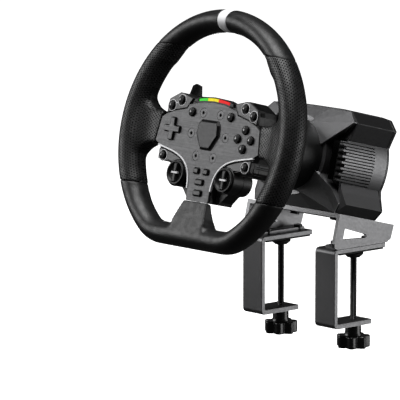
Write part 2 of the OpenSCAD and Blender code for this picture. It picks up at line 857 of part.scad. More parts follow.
module clamp_frame(side) {
  x0 = side * clamp_x - strap_w / 2;
  low = pad_t - throat;
  color("#5e5f61") difference() {
    translate([x0, 0, 0]) rotate([90, 0, 90]) linear_extrude(strap_w) {
      difference() {
        rounded(-strap_t, low - strap_t, 30, pad_t + strap_t, 5.4);
        rounded(0, low, 40, pad_t, 1.2);
      }
      translate([20, pad_t]) square([upper_reach - 20, strap_t]);
      translate([20, low - strap_t]) square([lower_reach - 20, strap_t]);
    }
    translate([side * clamp_x, screw_y, low - 10]) cylinder(r = screw_r + run_gap, h = 20);
    for (y = foot_bolt_y) translate([side * (clamp_x - 4), y, 0]) cylinder(r = 3.05, h = 20);
  }
}
module left_clamp_frame() {
  clamp_frame(-1);
}
module right_clamp_frame() {
  clamp_frame(1);
}
module jaw_pads() {
  color("#101011") pair() difference() {
    translate([clamp_x - strap_w / 2 + 0.5, 3, 0]) cube([strap_w - 1, upper_reach - 6, pad_t]);
    for (y = foot_bolt_y) translate([clamp_x - 4, y, -1]) cylinder(r = 5.2, h = 5);
  }
}
module bracket_bolts() {
  top = pad_t + strap_t + 3;
  color("#2c2c2e") {
    pair() for (y = foot_bolt_y) translate([clamp_x - 4, y, 0]) {
      translate([0, 0, pad_t + 0.2]) cylinder(r = 3, h = top - pad_t);
      translate([0, 0, top]) cylinder(r = 5, h = 3);
    }
    on_axis() pair() for (b = [160, 196]) translate([50, 0, -b]) rotate([-90, 0, 0]) {
      translate([0, 0, -half_h - sheet_t - 3]) cylinder(r = 5, h = 3);
      translate([0, 0, -half_h - sheet_t]) cylinder(r = 2.5, h = sheet_t + 10);
    }
  }
}
module clamp_pad(side) {
  color("#1a1a1b") translate([side * clamp_x, screw_y, -closed_gap]) difference() {
    rotate_extrude() polygon([[0, 0], [11, 0], [11, -1.6], [7, -5], [0, -5]]);
    translate([0, 0, -6]) cylinder(r = screw_r + run_gap, h = 3.5);
  }
}
module left_clamp_pad() {
  clamp_pad(-1);
}
module right_clamp_pad() {
  clamp_pad(1);
}
module clamp_screw(side) {
  low = pad_t - throat - strap_t - knob_neck - knob_h + 3;
  color("#3a3a3c") translate([side * clamp_x, screw_y, low])
    cylinder(r = screw_r, h = -closed_gap - 2.6 - low);
}
module left_clamp_screw() {
  clamp_screw(-1);
}
module right_clamp_screw() {
  clamp_screw(1);
}
module star_knob(side) {
  top = pad_t - throat - strap_t - 0.2;
  color("#121213") translate([side * clamp_x, screw_y, top]) difference() {
    union() {
      translate([0, 0, -knob_neck]) cylinder(r = 9, h = knob_neck);
      translate([0, 0, -knob_neck - knob_h]) {
        cylinder(r = 14.6, h = knob_h);
        for (i = [0:6]) rotate(360 * i / 7) translate([14.7, 0, 0]) cylinder(r = 4.4, h = knob_h);
      }
    }
    translate([0, 0, -knob_neck - knob_h + 2.8]) cylinder(r = screw_r + 0.02, h = 40);
  }
}
module left_star_knob() {
  star_knob(-1);
}
module right_star_knob() {
  star_knob(1);
}

// ---- each node ----
mount_bracket();
left_clamp_frame();
right_clamp_frame();
jaw_pads();
bracket_bolts();
motor_housing();
top_cover();
front_cover();
front_ring();
rear_cover();
stator();
bearings();
controller_board();
port_sockets();
housing_screws();
power_button();
main_shaft();
rotor();
quick_release_hub();
wheel_adapter();
quick_release_collar();
hub_frame();
rim_grip();
top_marker();
hub_plate();
hub_front_shell();
hub_rear_shell();
badge();
led_lens();
hub_bolts();
trim_strips();
hub_board();
left_paddle();
right_paddle();
dpad();
dpad_pivot();
cluster_button_top();
cluster_button_right();
cluster_button_bottom();
cluster_button_left();
left_round_button();
right_round_button();
left_small_button();
right_small_button();
upper_menu_button();
lower_menu_button();
left_pod_outer_button();
left_pod_inner_button();
right_pod_inner_button();
right_pod_outer_button();
left_lower_button();
right_lower_button();
left_rotary_knob();
right_rotary_knob();
left_clamp_pad();
right_clamp_pad();
left_clamp_screw();
right_clamp_screw();
left_star_knob();
right_star_knob();
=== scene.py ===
import json
import math

import bmesh
import bpy
import numpy as np
from mathutils import Matrix, Vector
from mathutils.geometry import tessellate_polygon


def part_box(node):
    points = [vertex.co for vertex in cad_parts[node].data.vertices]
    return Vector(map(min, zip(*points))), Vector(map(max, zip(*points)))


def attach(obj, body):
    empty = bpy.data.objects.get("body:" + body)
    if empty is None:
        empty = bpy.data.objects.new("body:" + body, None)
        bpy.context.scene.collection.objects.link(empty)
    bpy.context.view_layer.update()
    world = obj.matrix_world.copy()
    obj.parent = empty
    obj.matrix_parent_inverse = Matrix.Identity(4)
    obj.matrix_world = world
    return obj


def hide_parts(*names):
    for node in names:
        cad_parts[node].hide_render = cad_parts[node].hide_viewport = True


# The visible model of a desk-clamped racing wheel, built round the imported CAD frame.
# Shapes are written in millimetres. Wheel frame: x right, y up in the plane of the rim,
# h along the steering axis towards the driver, all from the centre of the rim.
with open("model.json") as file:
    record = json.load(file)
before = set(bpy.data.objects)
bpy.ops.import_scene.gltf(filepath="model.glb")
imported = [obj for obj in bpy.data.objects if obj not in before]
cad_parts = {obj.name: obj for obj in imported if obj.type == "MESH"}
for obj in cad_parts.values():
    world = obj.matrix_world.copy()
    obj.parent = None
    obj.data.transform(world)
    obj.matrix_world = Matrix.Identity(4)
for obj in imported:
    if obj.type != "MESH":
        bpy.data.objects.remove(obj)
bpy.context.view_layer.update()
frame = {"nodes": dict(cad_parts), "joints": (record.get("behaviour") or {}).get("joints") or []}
nodes = frame["nodes"]
scene = bpy.context.scene

MM = 0.001
steering = next(j for j in frame["joints"] if j["name"] == "wheel_steering")
CENTRE = Vector(steering["pos_m"])
H_AXIS = Vector(steering["axis"]).normalized()
X_AXIS = Vector((1, 0, 0))
Y_AXIS = H_AXIS.cross(X_AXIS)
WHEEL = Matrix.Translation(CENTRE) @ Matrix((X_AXIS, Y_AXIS, H_AXIS)).transposed().to_4x4()
ROW = Matrix.Identity(4)

# Rim
RIM_D = 280.0
GRIP_W = 25.0
GRIP_DEPTH = 32.0
FLAT_DROP = 125.0
CORNER_R = 50.0
RIM_MID = (RIM_D - GRIP_W) / 2
CORNER_MID = CORNER_R - GRIP_W / 2
FLAT_Y = -(FLAT_DROP - GRIP_W / 2)
CORNER = Vector((math.sqrt((RIM_D / 2 - CORNER_R) ** 2 - (FLAT_DROP - CORNER_R) ** 2),
                 -(FLAT_DROP - CORNER_R)))
CORNER_DIR = math.atan2(CORNER.y, CORNER.x)
ARC_LENGTH = RIM_MID * (math.pi / 2 - CORNER_DIR)
CORNER_LENGTH = CORNER_MID * (CORNER_DIR + math.pi / 2)
HALF_LENGTH = ARC_LENGTH + CORNER_LENGTH + CORNER.x
STRIPE_W = 13.0
HIGH_SEAM_Y = 94.0
LOW_SEAM_Y = -63.7
HIGH_SEAM = RIM_MID * math.acos(HIGH_SEAM_Y / RIM_MID)
LOW_SEAM = RIM_MID * math.acos(LOW_SEAM_Y / RIM_MID)
SECTION_ARC = (GRIP_W + GRIP_DEPTH) / 4
STITCH_STEP = 4.2

# Hub
FACE_H = 4.2
PLATE_BACK = 2.0
BOLT_RING = 27.5
CLUSTER = Vector((57.6, 1.1))
CLUSTER_STEP = 10.4
DPAD = Vector((-58.0, 1.8))
KNOB_AT = Vector((39.0, -45.5))
BUTTON_R = 4.7
POD_BUTTON_R = 4.3
BUTTON_TOP = FACE_H + 3.0
PODS = {"outer": Vector((65.5, 27.3)), "inner": Vector((51.2, 34.4)), "lower": Vector((66.0, -28.7))}

# Clamps
CLAMP_X = 58.75
SCREW_Y = 39.0
SCREW_R = 3.9
SCREW_PITCH = 1.25
THREAD_DEPTH = 0.62
KNOB_NECK = 12.7
KNOB_H = 14.0
LOBES = 7
LOBE_CORE = 14.4
LOBE_REACH = 4.7

# Camera, on the driver's right: degrees, metres, and millimetres for the lens
VIEW_AZIMUTH = 47.75
VIEW_ELEVATION = 9.0
VIEW_DISTANCE = 4.241
VIEW_SHIFT = (-0.01186, -0.0697)
LENS = 349.9
SENSOR = 36.0


# ---------------------------------------------------------------- mesh helpers
def link_mesh(name, mesh, place):
    obj = bpy.data.objects.new(name, mesh)
    scene.collection.objects.link(obj)
    obj.matrix_world = place
    return obj


def make_mesh(name, verts, faces, kinds=None):
    """A mesh from points in millimetres; kinds holds one material index per face."""
    mesh = bpy.data.meshes.new(name)
    mesh.from_pydata([tuple(c * MM for c in v) for v in verts], [], faces)
    if kinds is not None:
        mesh.polygons.foreach_set("material_index", kinds)
    bm = bmesh.new()
    bm.from_mesh(mesh)
    bmesh.ops.recalc_face_normals(bm, faces=bm.faces)
    bm.to_mesh(mesh)
    bm.free()
    return mesh


def piece(name, mesh, body, materials, place=WHEEL, sharp=35, stands_for=(), slot=None):
    """Puts a finished mesh into the scene and lets it ride on a CAD body."""
    for material in materials:
        mesh.materials.append(material)
    mesh.polygons.foreach_set("use_smooth", [True] * len(mesh.polygons))
    mesh.set_sharp_from_angle(angle=math.radians(sharp))
    obj = link_mesh(name, mesh, place)
    normals = obj.modifiers.new("flat faces", "WEIGHTED_NORMAL")
    normals.keep_sharp = True
    normals.weight = 90
    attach(obj, body)
    if stands_for:
        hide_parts(*stands_for)
    return obj


def joined(parts):
    """Adds up (verts, faces, kinds) triples into one."""
    verts, faces, kinds = [], [], []
    for v, f, k in parts:
        start = len(verts)
        verts += v
        faces += [tuple(i + start for i in face) for face in f]
        kinds += k
    return verts, faces, kinds


def built(name, parts, body, materials, **how):
    """One piece from several (verts, faces, kinds) parts; how goes on to piece()."""
    return piece(name, make_mesh(name, *joined(parts)), body, materials, **how)


def tube_faces(rows, around):
    """Faces along a stack of closed sections, with a cap at each end."""
    faces = []
    for i in range(rows - 1):
        for k in range(around):
            j = (k + 1) % around
            faces.append((i * around + k, i * around + j, (i + 1) * around + j, (i + 1) * around + k))
    return faces + [tuple(range(around)), tuple((rows - 1) * around + k for k in range(around))]


def mirrored_part(part):
    v, f, k = part
    return [(-x, y, h) for x, y, h in v], [tuple(reversed(face)) for face in f], list(k)


def area(loop):
    return sum(a[0] * b[1] - b[0] * a[1] for a, b in zip(loop, loop[1:] + loop[:1])) / 2


def wound(loop, anticlockwise):
    points = [Vector(p[:2]) for p in loop]
    return points if (area(loop) > 0) == anticlockwise else points[::-1]


def shifted(loop, distance):
    """The loop moved to its left by a distance, with mitred corners."""
    out = []
    for i, b in enumerate(loop):
        d0 = (b - loop[i - 1]).normalized()
        d1 = (loop[(i + 1) % len(loop)] - b).normalized()
        n0, n1 = Vector((-d0.y, d0.x)), Vector((-d1.y, d1.x))
        out.append(b + distance * (n0 + n1) / max(1 + n0.dot(n1), 0.35))
    return out


def rounded(loop, radius, steps=4, least_turn=12):
    """The loop with its corners rounded; radius is one number, or one per corner."""
    points = [Vector(p) for p in loop]
    out = []
    for i, b in enumerate(points):
        r = radius[i] if isinstance(radius, (list, tuple)) else radius
        to_a, to_c = points[i - 1] - b, points[(i + 1) % len(points)] - b
        turn = math.pi - to_a.angle(to_c)
        if turn < math.radians(least_turn) or r <= 0:
            out.append(b)
            continue
        cut = min(r * math.tan(turn / 2), 0.45 * to_a.length, 0.45 * to_c.length)
        p0, p2 = b + to_a.normalized() * cut, b + to_c.normalized() * cut
        for k in range(steps + 1):
            t = k / steps
            out.append(p0 * (1 - t) ** 2 + b * 2 * t * (1 - t) + p2 * t * t)
    return out


def both(half):
    return [Vector(p) for p in half] + [Vector((-p[0], p[1])) for p in reversed(half) if abs(p[0]) > 1e-6]


def circle(at, r, count=40):
    return [Vector((at[0] + r * math.cos(math.tau * i / count),
                    at[1] + r * math.sin(math.tau * i / count))) for i in range(count)]


def box_loop(at, half_x, half_y, r=0.8):
    x, y = at
    signs = ((-1, -1), (1, -1), (1, 1), (-1, 1))
    return rounded([(x + i * half_x, y + j * half_y) for i, j in signs], r, 3)


def cross_loop(at, reach, half_arm, r=1.2):
    a, b = reach, half_arm
    points = [(b, -a), (b, -b), (a, -b), (a, b), (b, b), (b, a)]
    points += [(-x, -y) for x, y in points]
    return rounded([(at[0] + x, at[1] + y) for x, y in points], r, 3)


def edge_rings(h0, h1, bottom, top, steps=3):
    """(inset, h) pairs that round a slab's lower and upper edges."""
    rings = []
    for k in range(steps + 1):
        a = math.pi / 2 * k / steps
        rings.append((bottom * (1 - math.sin(a)), h0 + bottom * (1 - math.cos(a))))
    for k in range(steps + 1):
        a = math.pi / 2 * k / steps
        rings.append((top * (1 - math.cos(a)), h1 - top * (1 - math.sin(a))))
    return rings


def slab(outline, rings, holes=(), kind=0, top_kind=None, side_kind=None):
    """A plate with holes whose edges follow rings, a list of (inset, h) from back to front."""
    top_kind = kind if top_kind is None else top_kind
    side_kind = kind if side_kind is None else side_kind
    loops = [wound(list(outline), True)] + [wound(list(hole), False) for hole in holes]
    verts, faces, kinds = [], [], []
    count = sum(len(loop) for loop in loops)
    for inset, h in rings:
        for loop in loops:
            verts += [(p.x, p.y, h) for p in shifted(loop, inset)]
    for level in range(len(rings) - 1):
        start = level * count
        for loop in loops:
            n = len(loop)
            for i in range(n):
                j = (i + 1) % n
                faces.append((start + i, start + j, start + count + j, start + count + i))
                kinds.append(side_kind)
            start += n
    for level, flip, which in ((0, True, kind), (len(rings) - 1, False, top_kind)):
        inset = rings[level][0]
        flat = [[Vector((p.x, p.y, 0)) for p in shifted(loop, inset)] for loop in loops]
        for tri in tessellate_polygon(flat):
            ids = [level * count + i for i in tri]
            faces.append(tuple(reversed(ids)) if flip else tuple(ids))
            kinds.append(which)
    return verts, faces, kinds


def lathe(at, profile, segments=40, kinds=None):
    """A turned shape: profile is (r, h) points, with r of 0 at closed ends."""
    verts, faces, out = [], [], []
    rows = []
    for r, h in profile:
        if r < 1e-6:
            rows.append([len(verts)])
            verts.append((at[0], at[1], h))
        else:
            rows.append(list(range(len(verts), len(verts) + segments)))
            for i in range(segments):
                a = math.tau * i / segments
                verts.append((at[0] + r * math.cos(a), at[1] + r * math.sin(a), h))
    for level, (a, b) in enumerate(zip(rows, rows[1:])):
        for i in range(segments):
            j = (i + 1) % segments
            face = [a[i % len(a)], a[j % len(a)], b[j % len(b)], b[i % len(b)]]
            face = [v for n, v in enumerate(face) if v not in face[:n]]
            if len(face) > 2:
                faces.append(tuple(face))
                out.append(kinds[level] if kinds else 0)
    return verts, faces, out


def arc(cx, ch, r, a0, a1, steps=4):
    """Profile points on a quarter or less of a circle, angles in degrees."""
    return [(cx + r * math.cos(math.radians(a0 + (a1 - a0) * k / steps)),
             ch + r * math.sin(math.radians(a0 + (a1 - a0) * k / steps))) for k in range(steps + 1)]


def smoothstep(a, b, x):
    t = np.clip((x - a) / (b - a), 0, 1)
    return t * t * (3 - 2 * t)


def remeshed(mesh, voxel):
    """One closed skin round everything in the mesh, by voxels of that size in millimetres."""
    obj = link_mesh("remesh", mesh, ROW)
    modifier = obj.modifiers.new("voxels", "REMESH")
    modifier.mode = "VOXEL"
    modifier.voxel_size = voxel * MM
    result = bpy.data.meshes.new_from_object(obj.evaluated_get(bpy.context.evaluated_depsgraph_get()))
    bpy.data.objects.remove(obj)
    return result


def relax(mesh, weight, rounds):
    """Smooths the mesh; weight(points in mm) says how much each vertex gives way."""
    n = len(mesh.vertices)
    co = np.empty(n * 3)
    mesh.vertices.foreach_get("co", co)
    co = co.reshape(-1, 3) / MM
    ends = np.empty(len(mesh.edges) * 2, int)
    mesh.edges.foreach_get("vertices", ends)
    a, b = ends.reshape(-1, 2).T
    degree = np.bincount(a, minlength=n) + np.bincount(b, minlength=n)
    w = weight(co)[:, None]
    for _ in range(rounds):
        total = np.stack([np.bincount(a, co[b, k], n) + np.bincount(b, co[a, k], n) for k in range(3)], 1)
        co += w * (total / degree[:, None] - co)
    mesh.vertices.foreach_set("co", (co * MM).ravel())
    mesh.update()
    return co


def set_attribute(mesh, name, values):
    layer = mesh.attributes.new(name, "FLOAT", "POINT")
    layer.data.foreach_set("value", np.asarray(values, np.float32))


# ---------------------------------------------------------------- materials
class Shader:
    """A procedural material; lengths inside it are millimetres."""

    def __init__(self, name, roughness=0.5, metallic=0.0, coat=0.0):
        self.material = bpy.data.materials.new(name)
        self.material.use_nodes = True
        self.tree = self.material.node_tree
        self.bsdf = self.tree.nodes["Principled BSDF"]
        self.bsdf.inputs["Roughness"].default_value = roughness
        self.bsdf.inputs["Metallic"].default_value = metallic
        self.bsdf.inputs["Coat Weight"].default_value = coat
        self.bsdf.inputs["Coat Roughness"].default_value = 0.15
        place = self.add("ShaderNodeTexCoord").outputs["Object"]
        scale = self.add("ShaderNodeVectorMath", operation="SCALE")
        scale.inputs["Scale"].default_value = 1 / MM
        self.tree.links.new(place, scale.inputs[0])
        self.mm = scale.outputs[0]
        self.height = None

    def add(self, kind, **settings):
        node = self.tree.nodes.new(kind)
        for key, value in settings.items():
            setattr(node, key, value)
        return node

    def feed(self, slot, item):
        if isinstance(item, bpy.types.NodeSocket):
            self.tree.links.new(item, slot)
        else:
            slot.default_value = item

    def value(self, operation, *items):
        node = self.add("ShaderNodeMath", operation=operation)
        for slot, item in zip(node.inputs, items):
            self.feed(slot, item)
        return node.outputs[0]

    def ramp(self, x, low, high, out_low=0.0, out_high=1.0):
        node = self.add("ShaderNodeMapRange", interpolation_type="SMOOTHSTEP")
        for slot, item in zip(node.inputs, (x, low, high, out_low, out_high)):
            self.feed(slot, item)
        return node.outputs[0]

    def noise(self, size, detail=3.0, stretch=None):
        vector = self.mm
        if stretch:
            mapping = self.add("ShaderNodeMapping")
            mapping.inputs["Scale"].default_value = stretch
            self.tree.links.new(self.mm, mapping.inputs[0])
            vector = mapping.outputs[0]
        node = self.add("ShaderNodeTexNoise")
        self.feed(node.inputs["Vector"], vector)
        node.inputs["Scale"].default_value = 1 / size
        node.inputs["Detail"].default_value = detail
        return node.outputs[0]

    def cells(self, size, feature="DISTANCE_TO_EDGE"):
        node = self.add("ShaderNodeTexVoronoi", feature=feature)
        self.feed(node.inputs["Vector"], self.mm)
        node.inputs["Scale"].default_value = 1 / size
        return node.outputs["Distance"]

    def mix(self, share, a, b):
        node = self.add("ShaderNodeMix", data_type="RGBA")
        self.feed(node.inputs["Factor"], share)
        for slot, item in ((node.inputs[6], a), (node.inputs[7], b)):
            self.feed(slot, item if isinstance(item, bpy.types.NodeSocket) else (*item, 1.0))
        return node.outputs[2]

    def colour(self, socket):
        self.tree.links.new(socket, self.bsdf.inputs["Base Color"])
        return socket

    def rough(self, socket):
        self.tree.links.new(socket, self.bsdf.inputs["Roughness"])

    def bump(self, height, depth):
        """Adds a height of 0 to 1 over a depth in millimetres; calls stack up."""
        node = self.add("ShaderNodeBump")
        node.inputs["Distance"].default_value = depth * MM
        self.feed(node.inputs["Height"], height)
        if self.height is not None:
            self.tree.links.new(self.height, node.inputs["Normal"])
        self.height = node.outputs[0]
        self.tree.links.new(self.height, self.bsdf.inputs["Normal"])

    def edge(self, radius):
        """About 1 within a radius of a sharp edge and 0 elsewhere."""
        bevel = self.add("ShaderNodeBevel", samples=4)
        bevel.inputs["Radius"].default_value = radius * MM
        geometry = self.add("ShaderNodeNewGeometry")
        dot = self.add("ShaderNodeVectorMath", operation="DOT_PRODUCT")
        self.tree.links.new(bevel.outputs[0], dot.inputs[0])
        self.tree.links.new(geometry.outputs["Normal"], dot.inputs[1])
        return self.ramp(dot.outputs["Value"], 0.998, 0.93)


def grey(v, tint=0.0):
    return (v, v, v * (1 + tint))


def coated(name, shade, roughness, metallic=0.0, grain=0.7, depth=0.02, mottle=0.12, coat=0.0,
           wear_and_edge_highlight=0.0, tint=0.02, specular=0.5, lines=0.0, dark_within=0.0):
    """Paint, moulded plastic or blasted metal: mottled colour, a grain, and lighter edges that are partly
    wear and partly a painted edge highlight.
    """
    s = Shader(name, roughness, metallic, coat)
    s.bsdf.inputs["Specular IOR Level"].default_value = specular
    patch = s.noise(28.0, 4.0)
    fine = s.noise(grain, 2.0)
    blend = s.value("MULTIPLY_ADD", fine, 0.35, s.value("MULTIPLY", patch, 0.65))
    base = s.mix(blend, grey(shade * (1 - mottle), tint), grey(shade * (1 + mottle), tint))
    # Lighter sharp edges: partly real wear, partly a painted highlight standing in for light caught along the
    # edges.
    if wear_and_edge_highlight:
        share = s.value("MULTIPLY", s.edge(0.9), s.ramp(s.noise(5.0), 0.35, 0.7, 0.35, wear_and_edge_highlight))
        base = s.mix(share, base, grey(min(shade * 2.6 + 0.05, 0.8), tint))
    if lines:
        brush = s.noise(0.8, 2.0, (0.02, 1.0, 1.0))
        base = s.mix(s.value("MULTIPLY", s.ramp(brush, 0.35, 0.65), lines), base, grey(shade * 0.45, tint))
    if dark_within:
        axes = s.add("ShaderNodeSeparateXYZ")
        s.tree.links.new(s.mm, axes.inputs[0])
        away = s.value("ABSOLUTE", axes.outputs[0])
        base = s.mix(s.ramp(away, dark_within - 0.6, dark_within + 0.4), grey(0.004), base)
    s.colour(base)
    s.rough(s.ramp(s.noise(2.5, 4.0), 0.3, 0.7, roughness - 0.04, roughness + 0.05))
    s.bump(fine, depth)
    return s.material


def brushed(name, shade, roughness, stretch=(0.05, 1.0, 1.0), tint=0.02):
    s = Shader(name, roughness, 1.0)
    lines = s.noise(0.35, 2.0, stretch)
    s.colour(s.mix(lines, grey(shade * 0.85, tint), grey(shade * 1.12, tint)))
    s.rough(s.ramp(lines, 0.3, 0.7, roughness - 0.06, roughness + 0.08))
    s.bump(lines, 0.01)
    return s.material


def leather(name, shade, roughness=0.44, perforated=False):
    s = Shader(name, roughness)
    s.bsdf.inputs["Specular IOR Level"].default_value = 0.5
    pores = s.ramp(s.cells(1.25), 0.0, 0.16)
    folds = s.noise(7.0, 5.0)
    tone = s.mix(s.noise(35.0, 3.0), grey(shade * 0.8, 0.03), grey(shade * 1.2, 0.03))
    tone = s.mix(s.value("SUBTRACT", 1.0, pores), tone, grey(shade * 0.45))
    if perforated:
        along = s.add("ShaderNodeAttribute", attribute_name="along").outputs["Fac"]
        around = s.add("ShaderNodeAttribute", attribute_name="around").outputs["Fac"]
        pitch, row_pitch, hole_r = 3.4, 2.4, 0.62
        row = s.value("DIVIDE", around, row_pitch)
        stagger = s.value("MULTIPLY", s.value("FLOORED_MODULO", s.value("FLOOR", row), 2.0), 0.5)
        across = s.value("SUBTRACT", s.value("FRACT", row), 0.5)
        column = s.value("ADD", s.value("DIVIDE", along, pitch), stagger)
        down = s.value("SUBTRACT", s.value("FRACT", column), 0.5)
        dx = s.value("MULTIPLY", down, pitch)
        dy = s.value("MULTIPLY", across, row_pitch)
        gap = s.value("SQRT", s.value("MULTIPLY_ADD", dx, dx, s.value("MULTIPLY", dy, dy)))
        hole = s.ramp(gap, hole_r + 0.3, hole_r - 0.1)
        tone = s.mix(hole, tone, grey(0.001))
        s.feed(s.bsdf.inputs["Specular IOR Level"], s.ramp(hole, 0.0, 1.0, 0.55, 0.0))
        s.bump(s.value("SUBTRACT", 1.0, hole), 0.3)
    s.colour(tone)
    s.rough(s.ramp(folds, 0.3, 0.7, roughness - 0.05, roughness + 0.08))
    s.bump(pores, 0.03)
    s.bump(folds, 0.06)
    return s.material


def glowing(name, colour):
    s = Shader(name, 0.5)
    s.bsdf.inputs["Specular IOR Level"].default_value = 0.15
    dots = s.ramp(s.cells(2.4, "F1"), 0.1, 0.75, 1.0, 0.82)
    s.colour(s.mix(dots, [c * 0.1 for c in colour], [c * 0.25 for c in colour]))
    s.feed(s.bsdf.inputs["Emission Color"], (*colour, 1.0))
    s.feed(s.bsdf.inputs["Emission Strength"], s.value("MULTIPLY", dots, 0.8))
    return s.material


def circuit(name):
    s = Shader(name, 0.35)
    tracks = s.ramp(s.cells(2.6), 0.05, 0.09)
    s.colour(s.mix(tracks, (0.05, 0.2, 0.1), (0.015, 0.09, 0.045)))
    s.bump(tracks, 0.05)
    return s.material


LEATHER = leather("leather_smooth", 0.008, 0.4)
LEATHER_HOLES = leather("leather_perforated", 0.008, 0.4, True)
STRIPE = coated("stripe_leather", 0.8, 0.5, grain=1.0, depth=0.03, mottle=0.03)
THREAD = coated("stitch_thread", 0.02, 0.7, grain=0.25, depth=0.05)
PLATE = coated("face_plate", 0.1, 0.46, 0.7, grain=0.5, depth=0.012, mottle=0.05, lines=0.45)
PLATE_EDGE = coated("face_plate_edge", 0.05, 0.4, 0.3, grain=0.5)
SHELL = coated("shell_plastic", 0.075, 0.45, grain=0.5, depth=0.02, mottle=0.07)
BLACK = coated("black_plastic", 0.006, 0.42, grain=0.6, depth=0.03, specular=0.35)
BLACK_GLOSS = coated("black_gloss", 0.006, 0.28, grain=1.5, depth=0.008, coat=0.2)
KNOB_RING = coated("knob_ring", 0.004, 0.4, grain=0.6, depth=0.02, specular=0.3)
BUTTON_SIDE = coated("button_side", 0.003, 0.35, grain=0.6, specular=0.2)
BUTTON_CAP = coated("button_cap", 0.045, 0.2, 0.3, grain=0.6, depth=0.004, coat=1.0)
BAR_CAP = coated("bar_button_cap", 0.03, 0.38, 0.2, grain=0.6, depth=0.01, mottle=0.08)
WHITE_INK = coated("white_ink", 0.72, 0.5, grain=0.4, mottle=0.04)
BRIGHT = coated("bright_trim", 0.5, 0.4, 0.3, grain=0.4, mottle=0.05)
BOLT = coated("face_bolt", 0.1, 0.46, 0.7, grain=0.5)
BADGE_TOP = coated("badge_top", 0.042, 0.44, 0.6, grain=0.45, mottle=0.05)
BADGE_EDGE = coated("badge_chamfer", 0.004, 0.35, grain=0.6, specular=0.15)
# The lighter edges on these finishes are partly wear and partly a painted edge highlight.
POWDER = coated("powder_coat", 0.17, 0.4, 1.0, grain=0.8, depth=0.03, mottle=0.06, wear_and_edge_highlight=0.3)
HOUSING = coated("housing_cast", 0.16, 0.4, 0.95, grain=0.6, depth=0.02, mottle=0.06, wear_and_edge_highlight=0.3,
                 dark_within=62.0)
HOUSING_DARK = coated("housing_dark", 0.06, 0.4, 0.85, grain=0.6, depth=0.03, mottle=0.08, wear_and_edge_highlight=0.4)
SATIN = coated("satin_cover", 0.22, 0.4, 0.95, grain=0.6, depth=0.015, mottle=0.05, wear_and_edge_highlight=0.4)
RUBBER = coated("black_rubber", 0.012, 0.75, grain=1.0, depth=0.06)
BLACK_STEEL = coated("black_steel", 0.03, 0.32, 0.8, grain=0.5, wear_and_edge_highlight=0.5)
STEEL = brushed("ground_steel", 0.6, 0.26)
CORE = brushed("machined_alloy", 0.55, 0.35)
ANODISED = coated("black_anodised", 0.02, 0.34, 0.7, grain=0.4, wear_and_edge_highlight=0.4)
COPPER = brushed("copper_windings", 0.4, 0.35, (1.0, 1.0, 0.08), -0.6)
BOARD = circuit("circuit_board")
LED_COLOURS = {"green": (0.06, 0.78, 0.05), "yellow": (1.0, 0.86, 0.02), "red": (0.9, 0.01, 0.01)}
LEDS = {name: glowing("led_" + name, colour) for name, colour in LED_COLOURS.items()}


# ---------------------------------------------------------------- rim
def rim_point(s):
    """The rim's middle and its outward direction, s millimetres from the top, + to the right."""
    side, d = (1 if s >= 0 else -1), abs(s)
    if d < ARC_LENGTH:
        a = math.pi / 2 - d / RIM_MID
        out = Vector((math.cos(a), math.sin(a)))
        at = out * RIM_MID
    elif d < ARC_LENGTH + CORNER_LENGTH:
        a = CORNER_DIR - (d - ARC_LENGTH) / CORNER_MID
        out = Vector((math.cos(a), math.sin(a)))
        at = CORNER + out * CORNER_MID
    else:
        out = Vector((0.0, -1.0))
        at = Vector((HALF_LENGTH - d, FLAT_Y))
    return Vector((side * at.x, at.y)), Vector((side * out.x, out.y))


# How far the grip swells inwards, by degrees above the horizontal
SWELL = [(62, 0.0), (51, 0.5), (46, 3.4), (42, 4.8), (37, 3.4), (30, 3.8), (18, 4.9), (0, 5.0),
         (-20, 5.0), (-29, 3.6), (-36, 1.2), (-44, 0.0)]


def swell(s):
    a = 90 - math.degrees(min(abs(s), ARC_LENGTH) / RIM_MID)
    for (a0, v0), (a1, v1) in zip(SWELL, SWELL[1:]):
        if a1 <= a <= a0:
            t = (a0 - a) / (a0 - a1)
            return v0 + (v1 - v0) * t * t * (3 - 2 * t)
    return 0.0


def level_cut(s, reach):
    """Shifts a station so that the seams lie level; reach is outward from the grip's middle."""
    moved = s
    for seam_y, seam in ((HIGH_SEAM_Y, HIGH_SEAM), (LOW_SEAM_Y, LOW_SEAM)):
        near = float(1 - smoothstep(0, 46, abs(abs(s) - seam)))
        shift = RIM_MID * math.acos(seam_y / (RIM_MID + reach)) - seam
        moved += near * shift * (1 if s >= 0 else -1)
    return moved


def rim_tube(stations, pinch, grow=0.0, segments=44):
    """A closed length of grip through the stations; pinch(s) draws it in at the seams."""
    verts, along, around = [], [], []
    for s in stations:
        draw = pinch(s)
        for k in range(segments):
            phi = math.tau * k / segments
            c, h = math.cos(phi), math.sin(phi)
            moved = level_cut(s, c * GRIP_W / 2)
            at, out = rim_point(moved)
            half = GRIP_W / 2 + grow - draw + (swell(moved) if c < 0 else 0.0)
            p = at + out * half * c
            verts.append((p.x, p.y, (GRIP_DEPTH / 2 + grow - draw) * h))
            along.append(s)
            around.append(phi * SECTION_ARC)
    return verts, tube_faces(len(stations), segments), along, around


def stations(s0, s1, step=2.2):
    """Even steps, with close ones at both ends for the seam creases."""
    close = [0.0, 0.35, 0.8, 1.4, 2.2]
    count = max(2, round((s1 - s0 - 4.4) / step))
    middle = [s0 + 2.2 + (s1 - s0 - 4.4) * i / count for i in range(1, count)]
    return [s0 + c for c in close] + middle + [s1 - c for c in reversed(close)]


def crease(s0, s1, depth=0.45, width=1.0):
    return lambda s: depth * (math.exp(-((s - s0) / width) ** 2) + math.exp(-((s - s1) / width) ** 2))


def tube_mesh(name, s0, s1, grow=0.0, depth=0.45):
    v, f, along, around = rim_tube(stations(s0, s1), crease(s0, s1, depth), grow)
    mesh = make_mesh(name, v, f)
    set_attribute(mesh, "along", along)
    set_attribute(mesh, "around", around)
    return mesh


